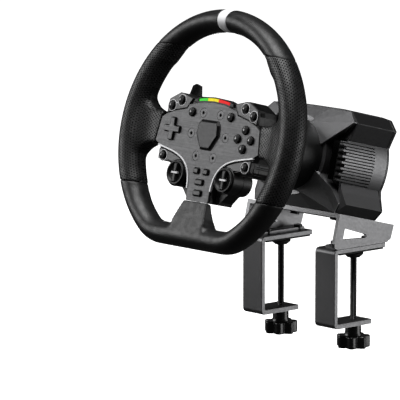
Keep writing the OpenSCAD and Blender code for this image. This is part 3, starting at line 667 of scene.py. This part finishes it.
def spoke_part():
    """The leather-wrapped right spoke: rounded sections that grow out of the hub into the rim."""
    # x, lower y, upper y, back h, front h, squareness
    rows = [(80.2, -16.9, 19.4, -15.5, 4.4, 9.0), (86.0, -17.0, 19.9, -15.5, 4.6, 8.0),
            (92.0, -17.9, 20.8, -15.5, 5.0, 6.5), (97.0, -20.6, 23.2, -15.5, 5.9, 5.0),
            (101.0, -24.4, 26.8, -15.6, 7.2, 4.0), (105.0, -29.6, 31.6, -15.7, 8.8, 3.4),
            (109.0, -36.0, 38.0, -15.8, 10.6, 3.0), (113.0, -38.0, 40.0, -15.8, 12.2, 3.0),
            (118.0, -34.0, 36.0, -15.6, 13.0, 3.0)]
    segments = 64
    verts = []
    for x, lo, hi, back, front, square in rows:
        for k in range(segments):
            a = math.tau * k / segments
            c, h = math.cos(a), math.sin(a)
            px = abs(c) ** (2 / square) * (1 if c >= 0 else -1)
            py = abs(h) ** (2 / square) * (1 if h >= 0 else -1)
            y = (lo + hi) / 2 + (hi - lo) / 2 * px
            lean = (1.25 - 0.127 * y) * max(0.0, (97.0 - x) / 17.0)
            verts.append((x + lean, y, (back + front) / 2 + (front - back) / 2 * py))
    return verts, tube_faces(len(rows), segments)


def side_grip(side):
    v, f, _, _ = rim_tube(stations(HIGH_SEAM, LOW_SEAM), crease(HIGH_SEAM, LOW_SEAM))
    sv, sf = spoke_part()
    verts, faces, _ = joined([(v, f, [0] * len(f)), (sv, sf, [0] * len(sf))])
    mesh = remeshed(make_mesh("side_grip", verts, faces), 1.1)

    def weight(co):
        rho = np.hypot(co[:, 0], co[:, 1])
        near = smoothstep(99, 104, rho) * (1 - smoothstep(119, 125, rho))
        near = near * (1 - smoothstep(44, 56, abs(co[:, 1])))
        ends = np.minimum(HIGH_SEAM_Y - co[:, 1], co[:, 1] - LOW_SEAM_Y)
        return np.clip(0.1 + 0.85 * near, 0, 0.9) * smoothstep(1.0, 4.0, ends)

    co = relax(mesh, weight, 26)
    theta = np.arctan2(co[:, 1], co[:, 0])
    rho = np.hypot(co[:, 0], co[:, 1])
    on_spoke = 1 - smoothstep(104, 112, rho)
    s = (math.pi / 2 - theta) * RIM_MID
    phi = np.arctan2(co[:, 2] / (GRIP_DEPTH / 2), (rho - RIM_MID) / (GRIP_W / 2))
    flat = np.sign(co[:, 2] + 5) * (math.pi / 2 * SECTION_ARC + (RIM_MID - rho))
    along = s * (1 - on_spoke) + (math.pi / 2 * RIM_MID - co[:, 1]) * on_spoke
    around = phi * SECTION_ARC * (1 - on_spoke) + flat * on_spoke
    set_attribute(mesh, "along", along)
    set_attribute(mesh, "around", around)
    if side < 0:
        bm = bmesh.new()
        bm.from_mesh(mesh)
        bmesh.ops.scale(bm, vec=(-1, 1, 1), verts=bm.verts)
        bmesh.ops.reverse_faces(bm, faces=bm.faces)
        bm.to_mesh(mesh)
        bm.free()
    return mesh


def wedge_part():
    """The lower spoke: a flat front face, widening down into the rim."""
    # y, then half width and h in front, at the side's foot and at the back
    rows = [(-73.5, 17.2, 5.9, 17.2, 1.0, 11.2, -5.3), (-74.5, 18.9, 6.2, 19.2, -0.6, 11.3, -5.4),
            (-83.0, 21.5, 8.6, 21.8, -1.4, 12.0, -6.5), (-91.4, 24.0, 10.8, 24.6, -3.4, 15.5, -9.5),
            (-100.0, 26.5, 13.1, 29.5, -5.6, 21.0, -12.0), (-106.0, 28.3, 14.7, 34.0, -7.0, 26.0, -13.0),
            (-112.0, 30.0, 16.2, 38.0, -8.0, 28.0, -13.0)]
    verts = []
    for y, a, hf, b, hm, c, hb in rows:
        verts += [(-a, y, hf), (a, y, hf), (b, y, hm), (c, y, hb), (-c, y, hb), (-b, y, hm)]
    return verts, tube_faces(len(rows), 6)


def bottom_grip():
    """The lower panel runs from one low seam round the flat to the other, with the wedge in it."""
    far = 2 * HALF_LENGTH - LOW_SEAM
    pinch = crease(LOW_SEAM, far)
    here = [s if s <= HALF_LENGTH else s - 2 * HALF_LENGTH for s in stations(LOW_SEAM, far)]
    unwrapped = {h: s for h, s in zip(here, stations(LOW_SEAM, far))}
    v, f, _, _ = rim_tube(here, lambda s: pinch(unwrapped[s]))
    wv, wf = wedge_part()
    verts, faces, _ = joined([(v, f, [0] * len(f)), (wv, wf, [0] * len(wf))])
    mesh = remeshed(make_mesh("bottom_grip", verts, faces), 1.0)

    def weight(co):
        x, y = abs(co[:, 0]), co[:, 1]
        foot = smoothstep(-96, -101, y) * (1 - smoothstep(-113, -118, y)) * (1 - smoothstep(46, 56, x))
        ends = LOW_SEAM_Y - y
        on_tube = smoothstep(-92, -100, y) + smoothstep(40, 50, x)
        return np.clip(0.1 * np.clip(on_tube, 0, 1) + 0.8 * foot + 0.02, 0, 0.9) * smoothstep(1.0, 4.0, ends)

    relax(mesh, weight, 22)
    return mesh


def stitches(name, s0, s1):
    """Short thread bars across the inner seam of a panel."""
    parts = []
    s = s0 + 3
    while s < s1 - 2:
        here = s if s <= HALF_LENGTH else s - 2 * HALF_LENGTH
        at, out = rim_point(here)
        run = Vector((-out.y, out.x))
        p = at - out * (GRIP_W / 2 + swell(here) + 0.05)
        for sign in (-1, 1):
            ends = [(p + run * 0.9 * sign, -4.0), (p - run * 0.9 * sign, -1.2)]
            (p0, h0), (p1, h1) = ends
            d = Vector((p1.x - p0.x, p1.y - p0.y, h1 - h0)).normalized()
            side = d.cross(Vector((out.x, out.y, 0))).normalized()
            lift = -Vector((out.x, out.y, 0))
            ring = [side * 0.32, side * 0.2 + lift * 0.3, side * -0.2 + lift * 0.3, side * -0.32]
            a = [tuple(Vector((p0.x, p0.y, h0)) + r) for r in ring]
            b = [tuple(Vector((p1.x, p1.y, h1)) + r) for r in ring]
            faces = [(0, 1, 5, 4), (1, 2, 6, 5), (2, 3, 7, 6), (3, 0, 4, 7), (0, 3, 2, 1), (4, 5, 6, 7)]
            parts.append((a + b, faces, [0] * 6))
        s += STITCH_STEP
    built(name, parts, "wheel", [THREAD], slot="leather")


def build_rim():
    top = STRIPE_W / 2
    piece("grip_side_right", side_grip(1), "wheel", [LEATHER_HOLES], sharp=60,
          stands_for=["rim_grip"], slot="leather")
    piece("grip_side_left", side_grip(-1), "wheel", [LEATHER_HOLES], sharp=60, slot="leather")
    for side, name in ((1, "right"), (-1, "left")):
        s0, s1 = sorted((side * top, side * HIGH_SEAM))
        piece("grip_top_" + name, tube_mesh("grip_top", s0, s1), "wheel", [LEATHER], sharp=60, slot="leather")
    piece("grip_bottom", bottom_grip(), "wheel", [LEATHER], sharp=50, slot="leather")
    piece("top_stripe", tube_mesh("top_stripe", -top, top, 0.25, 0.5), "wheel", [STRIPE], sharp=60,
          stands_for=["top_marker"], slot="marker_leather")
    stitches("stitches_top_right", top, HIGH_SEAM)
    stitches("stitches_top_left", -HIGH_SEAM, -top)
    stitches("stitches_bottom", LOW_SEAM, 2 * HALF_LENGTH - LOW_SEAM)


# ---------------------------------------------------------------- hub
def bezier(a, b, c, d, n):
    a, b, c, d = Vector(a), Vector(b), Vector(c), Vector(d)
    return [a * (1 - t) ** 3 + b * 3 * t * (1 - t) ** 2 + c * 3 * t * t * (1 - t) + d * t ** 3
            for t in (i / n for i in range(n + 1))]


TRIM = bezier((76.5, -16.5), (52, -22), (18, -21.5), (17.8, -60.4), 18)
PLATE_HALF = [Vector(p) for p in [(0, 36.3), (18, 35.1), (33, 31.6), (38, 31), (40.5, 26), (59.7, 21.7),
                                  (72, 17.5), (78.5, 13.2), (82.5, -13)]] + TRIM + [Vector((17.5, -73))]
SHELL_TOP = [(0, 42.5), (20, 41.3), (31, 38.2), (49.4, 42.3), (56, 42.8), (71.5, 34.7), (73, 28), (73, 19),
             (78.5, 13.2), (82.5, -13), (77.5, -17)]
SHELL_LOW = [(74.5, -22), (74, -33), (60, -33.5), (50, -37), (34, -36), (25, -40), (20.8, -48),
             (20, -60.5), (20, -73)]
BADGE_HALF = [(12.8, 16.5), (16.4, 12.3), (18.2, 0.6), (8, -16)]


def cluster_places():
    return {name: CLUSTER + CLUSTER_STEP * Vector((math.cos(a), math.sin(a)))
            for name, a in (("top", math.pi / 2), ("right", 0), ("bottom", -math.pi / 2), ("left", math.pi))}


def plate_holes():
    gap = 0.45
    holes = [circle(p, BUTTON_R + gap) for p in cluster_places().values()]
    holes += [circle((s * 31, 23), BUTTON_R + gap) for s in (-1, 1)]
    holes += [box_loop((s * 7.6, -40), 4.25 + gap, 3.25 + gap, 1.6) for s in (-1, 1)]
    holes += [box_loop((0, y), 6.25 + gap, 3.25 + gap, 1.6) for y in (-52, -64)]
    holes += [circle((BOLT_RING * math.cos(a), BOLT_RING * math.sin(a)), 5.3) for a in bolt_angles()]
    holes.append(cross_loop(DPAD, 12.6 + gap, 3.6 + gap))
    return holes


def bolt_angles():
    return [math.radians(60 * i) for i in range(6)]


def build_plate():
    outline = both(PLATE_HALF)
    rings = [(0.0, PLATE_BACK), (0.0, FACE_H - 0.28), (0.08, FACE_H - 0.08), (0.28, FACE_H)]
    part = slab(outline, rings, plate_holes(), side_kind=1)
    built("hub_face_plate", [part], "wheel", [PLATE, PLATE_EDGE], sharp=25,
          stands_for=["hub_plate"], slot="face_plate")
    well = slab(cross_loop(DPAD, 14.2, 5.2), [(0, 0.2), (0, 0.6)], [circle(DPAD, 4.6)])
    built("dpad_well", [well], "wheel", [BLACK], slot="shell_plastic")


def pod_outlines():
    """Upper and lower pods on the right, as loops in the plane of the face."""
    upper = [(38.6, 30.6), (41.2, 26.4), (60, 22.2), (72.4, 18.0), (73.0, 28.0), (71.5, 34.7), (56, 42.8),
             (49.4, 42.3), (33.6, 38.2)]
    lower_edge = [p + Vector((0.6, -2.7)) for p in TRIM[1:10]]
    lower = lower_edge + [Vector(p) for p in reversed(SHELL_LOW[:6])]
    return upper, lower


def build_front_shell():
    """The shell round the plate: its body, the pods' faces and the frame of the light bar."""
    body_loop = both(SHELL_TOP + SHELL_LOW)
    parts = [slab(body_loop, edge_rings(-6.0, 1.9, 0.2, 0.6, 2), [circle(DPAD, 4.8)], kind=1)]
    for is_lower, loop in enumerate(pod_outlines()):
        holes = [circle(p, POD_BUTTON_R + 0.35) for n, p in PODS.items() if (n == "lower") == is_lower]
        rings = [(0.0, 1.0), (0.0, FACE_H - 1.1), (0.35, FACE_H - 0.4), (1.0, FACE_H - 0.02)]
        part = slab(rounded(loop, 1.4, 3, 25), rings, holes, side_kind=1)
        parts += [part, mirrored_part(part)]
    edge = [(-31, 38.2), (-20, 41.3), (0, 42.5), (20, 41.3), (31, 38.2), (32.4, 33.4), (18, 35.9),
            (0, 37.0), (-18, 35.9), (-32.4, 33.4)]
    rings = [(0.0, 1.0), (0.0, FACE_H - 0.9), (0.3, FACE_H - 0.25), (0.9, FACE_H)]
    slot_loop = led_loop(-11.6, 11.6, 121.2, 125.2)
    parts.append(slab(rounded(edge, 2.0, 4), rings, [slot_loop], kind=2, side_kind=2))
    built("hub_bezel", parts, "wheel", [SHELL, BLACK, BUTTON_SIDE], sharp=25,
          stands_for=["hub_front_shell"], slot="shell_plastic")


def led_loop(a0, a1, r0, r1, steps=10):
    """A stretch of the light bar's arc, angles in degrees from straight up, + to the right."""
    angles = [math.radians(a0 + (a1 - a0) * i / steps) for i in range(steps + 1)]
    out = [Vector((r1 * math.sin(a), r1 * math.cos(a) - 84)) for a in angles]
    back = [Vector((r0 * math.sin(a), r0 * math.cos(a) - 84)) for a in reversed(angles)]
    return out + back


def build_leds():
    spans = {"green": (-11.4, -5.2), "yellow": (-5.0, 2.7), "red": (2.9, 11.4)}
    for name, (a0, a1) in spans.items():
        part = slab(rounded(led_loop(a0, a1, 121.4, 125.0), 0.5, 2), edge_rings(0.5, 3.9, 0.1, 0.5, 3))
        built("light_bar_" + name, [part], "wheel", [LEDS[name]], sharp=30,
              stands_for=["led_lens"], slot="led_lens")


def build_pod_boxes():
    """The boxes behind the corner buttons, and the stepped sleeves under the lower ones."""
    upper, _ = pod_outlines()
    rings = [(1.2, -23.8), (0.2, -22.4), (0.0, -20.0), (0.0, 1.2), (0.0, FACE_H - 1.6), (0.9, FACE_H - 0.6)]
    box = slab(rounded(upper, 2.0, 4), rings)
    built("pod_boxes", [box, mirrored_part(box)], "wheel", [BLACK], sharp=25, slot="black_plastic")
    edge = [(58, -22.6), (68, -21.4), (73.4, -21.8), (74.6, -23.2), (74.7, -25.4), (73.9, -26.0),
            (73.9, -27.2), (74.9, -27.9), (75.0, -32.2), (74.0, -34.2), (66, -34.8), (56, -33.6)]
    rings = [(1.2, -24.0), (0.2, -22.8), (0.0, -21.5), (0.0, -9.2), (0.35, -8.9), (0.35, -8.3), (0.0, -8.0),
             (0.0, -1.6), (0.8, -0.8)]
    sleeve = slab(rounded(edge, 0.5, 3, 20), rings)
    built("lower_pod_sleeves", [sleeve, mirrored_part(sleeve)], "wheel", [BLACK], sharp=30,
          slot="black_plastic")


def build_rings():
    """Thin pale outlines round the pod buttons, joined by a dash."""
    parts = []
    for p in PODS.values():
        low, high = FACE_H - 0.1, FACE_H + 0.1
        ring = lathe(p, [(5.95, low), (6.0, high), (6.5, high), (6.55, low)], 48)
        parts += [ring, mirrored_part(ring)]
    a, b = PODS["inner"], PODS["outer"]
    run = (b - a).normalized()
    across = Vector((-run.y, run.x)) * 0.3
    p0, p1 = a + run * 6.4, b - run * 6.4
    dash = slab([p0 + across, p0 - across, p1 - across, p1 + across], [(0, low), (0, high)])
    parts += [dash, mirrored_part(dash)]
    built("pod_button_outlines", parts, "wheel", [WHITE_INK], slot="bright_trim")


def build_badge():
    shield = rounded(both(BADGE_HALF), 1.2, 3)
    rings = [(0, 0), (0, 0.7), (0.3, 1.0), (2.2, 2.5), (2.4, 2.75), (2.8, 2.8)]
    top = slab(shield, [(inset, FACE_H + h) for inset, h in rings], side_kind=1)
    foot = slab([p * 1.035 for p in shield], [(0, FACE_H), (0, FACE_H + 0.5), (0.2, FACE_H + 0.7)], kind=1)
    built("badge_shield", [top, foot], "wheel", [BADGE_TOP, BADGE_EDGE], sharp=22,
          stands_for=["badge"], slot="badge_metal")


def build_bolts():
    """Six flush bolts: a shank to the back, a flat head and a dark socket."""
    head = [(5.15, -0.3), (4.95, -0.1), (4.6, -0.05), (2.2, -0.05), (1.9, -0.1), (1.6, -0.3), (1.5, -0.6),
            (1.45, -2.0), (0, -2.1)]
    profile = [(0, -50), (2.4, -50), (2.4, PLATE_BACK), (5.15, PLATE_BACK)]
    profile += [(r, FACE_H + h) for r, h in head]
    kinds = [0] * 7 + [0, 1, 1, 1, 1]
    places = [(BOLT_RING * math.cos(a), BOLT_RING * math.sin(a)) for a in bolt_angles()]
    built("hub_face_bolts", [lathe(at, profile, 36, kinds) for at in places], "wheel", [BOLT, BLACK],
          sharp=28, stands_for=["hub_bolts"], slot="face_bolts")


# ---------------------------------------------------------------- controls
def round_button(node, at, r):
    """A domed cap on a flange that stays under the plate."""
    top = BUTTON_TOP
    profile = [(0, -1), (r + 1, -1), (r + 1, -0.2), (r, -0.2), (r, top - 1.3)]
    profile += arc(r - 0.8, top - 1.3, 0.8, 15, 80, 3)
    kinds = [0] * len(profile) + [1] * 4
    profile += [(r - 1.5, top - 0.45), (r - 2.2, top - 0.02), (r * 0.3, top + 0.38), (r * 0.12, top + 0.5),
                (0, top + 0.52)]
    built(node + "_cap", [lathe(at, profile, 36, kinds)], node, [BUTTON_SIDE, BUTTON_CAP], sharp=35,
          stands_for=[node], slot="button_black")


def bar_button(node, at, half_x):
    top = FACE_H + 2.2
    flange = slab(box_loop(at, half_x + 0.8, 4.05, 1.0), [(0, -1), (0, -0.2)])
    rings = [(0, -0.2), (0, top - 0.9), (0.22, top - 0.35), (0.75, top), (1.5, top + 0.12)]
    cap = slab(box_loop(at, half_x, 3.25, 1.5), rings, top_kind=1)
    built(node + "_cap", [flange, cap], node, [BUTTON_SIDE, BAR_CAP], sharp=30,
          stands_for=[node], slot="button_black")


def build_controls():
    for name, at in cluster_places().items():
        round_button("cluster_button_" + name, at, BUTTON_R)
    for side, name in ((-1, "left"), (1, "right")):
        round_button(name + "_round_button", (side * 31, 23), BUTTON_R)
        for pod in ("outer", "inner"):
            at = PODS[pod]
            round_button(f"{name}_pod_{pod}_button", (side * at.x, at.y), POD_BUTTON_R)
        round_button(name + "_lower_button", (side * PODS["lower"].x, PODS["lower"].y), POD_BUTTON_R)
        bar_button(name + "_small_button", (side * 7.6, -40), 4.25)
        rotary_knob(name + "_rotary_knob", Vector((side * KNOB_AT.x, KNOB_AT.y)))
    bar_button("upper_menu_button", (0, -52), 6.25)
    bar_button("lower_menu_button", (0, -64), 6.25)
    top = FACE_H + 2.6
    rings = [(0, 2.7), (0, top - 0.9), (0.25, top - 0.3), (0.9, top)]
    cross = slab(cross_loop(DPAD, 12.6, 3.6, 1.3), rings, top_kind=1)
    boss = lathe(DPAD, [(0, -3.2), (3.4, -3.2), (3.4, 2.8), (0, 2.8)], 24)
    built("direction_pad", [cross, boss], "dpad", [BUTTON_SIDE, PLATE], sharp=25,
          stands_for=["dpad"], slot="button_black")


def rotary_knob(node, at):
    """A dish with a raised edge, a waisted grip across it and a short bright mark."""
    r, base = 13.4, FACE_H - 1.0
    dish = [(0, -17), (3, -17), (3, base), (r - 0.6, base), (r, base + 0.6), (r, base + 3.2)]
    dish += arc(r - 1.0, base + 3.5, 1.0, 0, 90, 4)
    dish += [(r - 1.9, base + 4.3), (r - 2.6, base + 3.0), (r - 5.0, base + 1.5), (4.0, base + 0.9),
             (0, base + 0.9)]
    body = lathe(at, dish, 72, [2] * 13 + [0] * 5)
    half = [(3.1, -11.0), (2.3, 0.0), (3.1, 11.0)]
    grip_loop = [at + Vector((-3.1, -11.0))] + [at + Vector(p) for p in half]
    grip_loop += [at + Vector((-3.1, 11.0)), at + Vector((-2.3, 0.0))]
    rings = [(0, base + 0.5), (0, base + 3.4), (0.5, base + 4.5), (1.3, base + 5.0)]
    grip = slab(rounded(grip_loop, 1.4, 3, 8), rings, kind=3)
    mark = slab(box_loop(at, 4.6, 1.0, 0.5), [(0, base + 3.0), (0.05, base + 5.2)], kind=1)
    built(node + "_dish", [body, grip, mark], node, [BLACK_GLOSS, WHITE_INK, KNOB_RING, BLACK], sharp=30,
          stands_for=[node], slot="knob_gloss")


def build_knob_housings():
    """Turned sleeves round the rotary knobs, with a groove half way back."""
    lip = [(13.9, -1.4), (14.1, 0.6), (14.5, 1.0), (14.9, 0.6), (15.0, -0.8), (14.6, -2.4)]
    profile = [(r, FACE_H + h) for r, h in lip]
    profile += [(14.6, -9.4), (14.25, -9.8), (14.25, -10.4), (14.6, -10.8), (14.6, -22.4), (14.0, -23.8),
                (12.5, -24.4), (0, -24.4)]
    parts = [lathe((side * KNOB_AT.x, KNOB_AT.y), profile, 72) for side in (-1, 1)]
    built("knob_housings", parts, "wheel", [BLACK], sharp=30, slot="black_plastic")


# ---------------------------------------------------------------- clamps
def screw_thread(side):
    """A real helical thread, cut into the screw's outer radius."""
    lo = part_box(side + "_clamp_screw")[0].z / MM
    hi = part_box(side + "_clamp_screw")[1].z / MM
    x = (1 if side == "right" else -1) * CLAMP_X
    around, per_turn = 20, 4
    steps = int((hi - lo) / SCREW_PITCH * per_turn)
    verts = []
    for j in range(steps + 1):
        z = lo + (hi - lo) * j / steps
        fade = min(1.0, (z - lo) / 2.0, (hi - z) / 2.0)
        for i in range(around):
            phase = (z / SCREW_PITCH - i / around) % 1.0
            r = SCREW_R - THREAD_DEPTH * fade * abs(2 * phase - 1)
            a = math.tau * i / around
            verts.append((x + r * math.cos(a), SCREW_Y + r * math.sin(a), z))
    mesh = make_mesh(side + "_screw_thread", verts, tube_faces(steps + 1, around))
    piece(side + "_screw_thread", mesh, side + "_clamp_screw", [BLACK_STEEL], place=ROW, sharp=50,
          stands_for=[side + "_clamp_screw"], slot="screw_steel")


def star_knob(side):
    """A seven-lobed knob under the screw, with a turned neck."""
    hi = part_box(side + "_star_knob")[1].z / MM
    x = (1 if side == "right" else -1) * CLAMP_X
    at = Vector((x, SCREW_Y))
    loop = []
    for i in range(140):
        a = math.tau * i / 140
        lobe = 0.5 + 0.5 * math.cos(LOBES * a)
        loop.append(at + (LOBE_CORE + LOBE_REACH * lobe ** 0.75) * Vector((math.cos(a), math.sin(a))))
    neck_end = hi - KNOB_NECK
    foot = neck_end - KNOB_H
    grip = slab(loop, edge_rings(foot, neck_end, 1.8, 1.8, 4))
    neck = lathe(at, [(0, neck_end - 1), (10.4, neck_end - 1), (10.2, neck_end + 0.8), (9.2, neck_end + 3.0),
                      (9.0, hi - 1.2), (8.2, hi - 0.1), (4.4, hi), (0, hi)], 48)
    cup = lathe(at, [(0, foot - 0.02), (7.0, foot - 0.02), (7.4, foot + 0.4), (7.4, foot + 0.6)], 36)
    built(side + "_knob_grip", [grip, neck, cup], side + "_clamp_screw", [BLACK_GLOSS], place=ROW, sharp=40,
          stands_for=[side + "_star_knob"], slot="knob_gloss")


# ---------------------------------------------------------------- CAD nodes that stay
def dress(name, material, edge=0.0, edge_material=None):
    """Gives a CAD node its material and softens its edges with modifiers."""
    obj = nodes[name]
    obj.data.materials.clear()
    obj.data.materials.append(material)
    if edge_material:
        obj.data.materials.append(edge_material)
    if edge:
        weld = obj.modifiers.new("weld", "WELD")
        weld.merge_threshold = 0.00002
        bevel = obj.modifiers.new("edges", "BEVEL")
        bevel.width = edge * MM
        bevel.segments = 2
        bevel.limit_method = "ANGLE"
        bevel.angle_limit = math.radians(32)
        bevel.use_clamp_overlap = True
        if edge_material:
            bevel.material = 1
    normals = obj.modifiers.new("flat faces", "WEIGHTED_NORMAL")
    normals.keep_sharp = True
    normals.weight = 90


def dress_frame():
    # Node: its material and the width of its softened edges in millimetres
    looks = {
        "mount_bracket": (POWDER, 0.7),
        "left_clamp_frame": (POWDER, 0.7),
        "right_clamp_frame": (POWDER, 0.7),
        "jaw_pads": (RUBBER, 0.3),
        "bracket_bolts": (BLACK_STEEL, 0.4),
        "motor_housing": (HOUSING, 0.3),
        "top_cover": (HOUSING_DARK, 1.0),
        "front_cover": (SATIN, 1.0),
        "front_ring": (BLACK, 0.8),
        "rear_cover": (HOUSING_DARK, 0.8),
        "stator": (COPPER, 0.3),
        "bearings": (STEEL, 0.3),
        "controller_board": (BOARD, 0.0),
        "port_sockets": (BLACK_GLOSS, 0.2),
        "housing_screws": (BLACK_STEEL, 0.2),
        "power_button": (BLACK_GLOSS, 0.4),
        "main_shaft": (STEEL, 0.5),
        "rotor": (CORE, 0.4),
        "quick_release_hub": (CORE, 0.5),
        "wheel_adapter": (ANODISED, 0.6),
        "quick_release_collar": (ANODISED, 0.5),
        "hub_frame": (CORE, 0.0),
        "hub_rear_shell": (BLACK, 0.9),
        "trim_strips": (BRIGHT, 0.25),
        "hub_board": (BOARD, 0.0),
        "left_paddle": (ANODISED, 0.6),
        "right_paddle": (ANODISED, 0.6),
        "dpad_pivot": (STEEL, 0.2),
        "left_clamp_pad": (RUBBER, 0.5),
        "right_clamp_pad": (RUBBER, 0.5),
    }
    for name, (material, edge) in looks.items():
        dress(name, material, edge, BLACK if name == "front_cover" else None)


# ---------------------------------------------------------------- stage
FLOOR_SIZE = 60
FLOOR_Z = -0.19
# How bright the surroundings are for the object itself; the camera sees them white
ROOM = 0.035
# Softboxes: name, place, size and power, all aimed at one spot
LIGHT_AIM = Vector((0, 0, 0.05))
BOXES = [("left_front_box", (-2.0, -1.6, 0.85), (1.7, 1.5), 34),
         ("right_back_box", (1.8, 1.5, -0.1), (1.4, 1.2), 15),
         ("top_box", (0.25, -0.5, 2.2), (1.8, 1.6), 66)]


def area_light(name, at, size, power):
    data = bpy.data.lights.new(name, "AREA")
    data.shape = "RECTANGLE"
    data.size, data.size_y = size
    data.energy = power
    obj = bpy.data.objects.new(name, data)
    scene.collection.objects.link(obj)
    obj.location = at
    obj.rotation_euler = (LIGHT_AIM - Vector(at)).to_track_quat("-Z", "Y").to_euler()


def build_floor():
    bpy.ops.mesh.primitive_plane_add(size=FLOOR_SIZE, location=(0, 0, FLOOR_Z))
    floor = bpy.context.object
    floor.name = "floor"
    s = Shader("floor_paper", 0.9)
    s.colour(s.mix(s.noise(400.0, 2.0), (0.86, 0.86, 0.86), (0.9, 0.9, 0.9)))
    s.feed(s.bsdf.inputs["Emission Color"], (1, 1, 1, 1))
    s.feed(s.bsdf.inputs["Emission Strength"], 1.0)
    floor.data.materials.append(s.material)
    floor.visible_diffuse = False
    floor.visible_glossy = False
    floor.visible_shadow = False


def build_world():
    world = bpy.data.worlds.new("studio")
    scene.world = world
    world.use_nodes = True
    tree = world.node_tree
    background = tree.nodes["Background"]
    background.inputs[0].default_value = (1, 1, 1, 1)
    seen = tree.nodes.new("ShaderNodeLightPath").outputs["Is Camera Ray"]
    strength = tree.nodes.new("ShaderNodeMapRange")
    strength.inputs["To Min"].default_value = ROOM
    strength.inputs["To Max"].default_value = 1.0
    tree.links.new(seen, strength.inputs["Value"])
    tree.links.new(strength.outputs[0], background.inputs[1])


def build_camera():
    azimuth, elevation = math.radians(VIEW_AZIMUTH), math.radians(VIEW_ELEVATION)
    right = Vector((math.cos(azimuth), math.sin(azimuth), 0))
    rise = math.sin(elevation)
    up = Vector((-math.sin(azimuth) * rise, math.cos(azimuth) * rise, math.cos(elevation)))
    towards = right.cross(up)
    aim = CENTRE + right * VIEW_SHIFT[0] + up * VIEW_SHIFT[1]
    data = bpy.data.cameras.new("camera")
    data.sensor_width = SENSOR
    data.lens = LENS
    camera = bpy.data.objects.new("camera", data)
    scene.collection.objects.link(camera)
    axes = Matrix((right, up, towards)).transposed().to_4x4()
    camera.matrix_world = Matrix.Translation(aim + towards * VIEW_DISTANCE) @ axes
    scene.camera = camera
    scene.view_settings.view_transform = "Standard"


build_rim()
build_plate()
build_front_shell()
build_leds()
build_pod_boxes()
build_rings()
build_badge()
build_bolts()
build_controls()
build_knob_housings()
for clamp in ("left", "right"):
    screw_thread(clamp)
    star_knob(clamp)
dress_frame()
build_floor()
build_world()
for box in BOXES:
    area_light(*box)
build_camera()
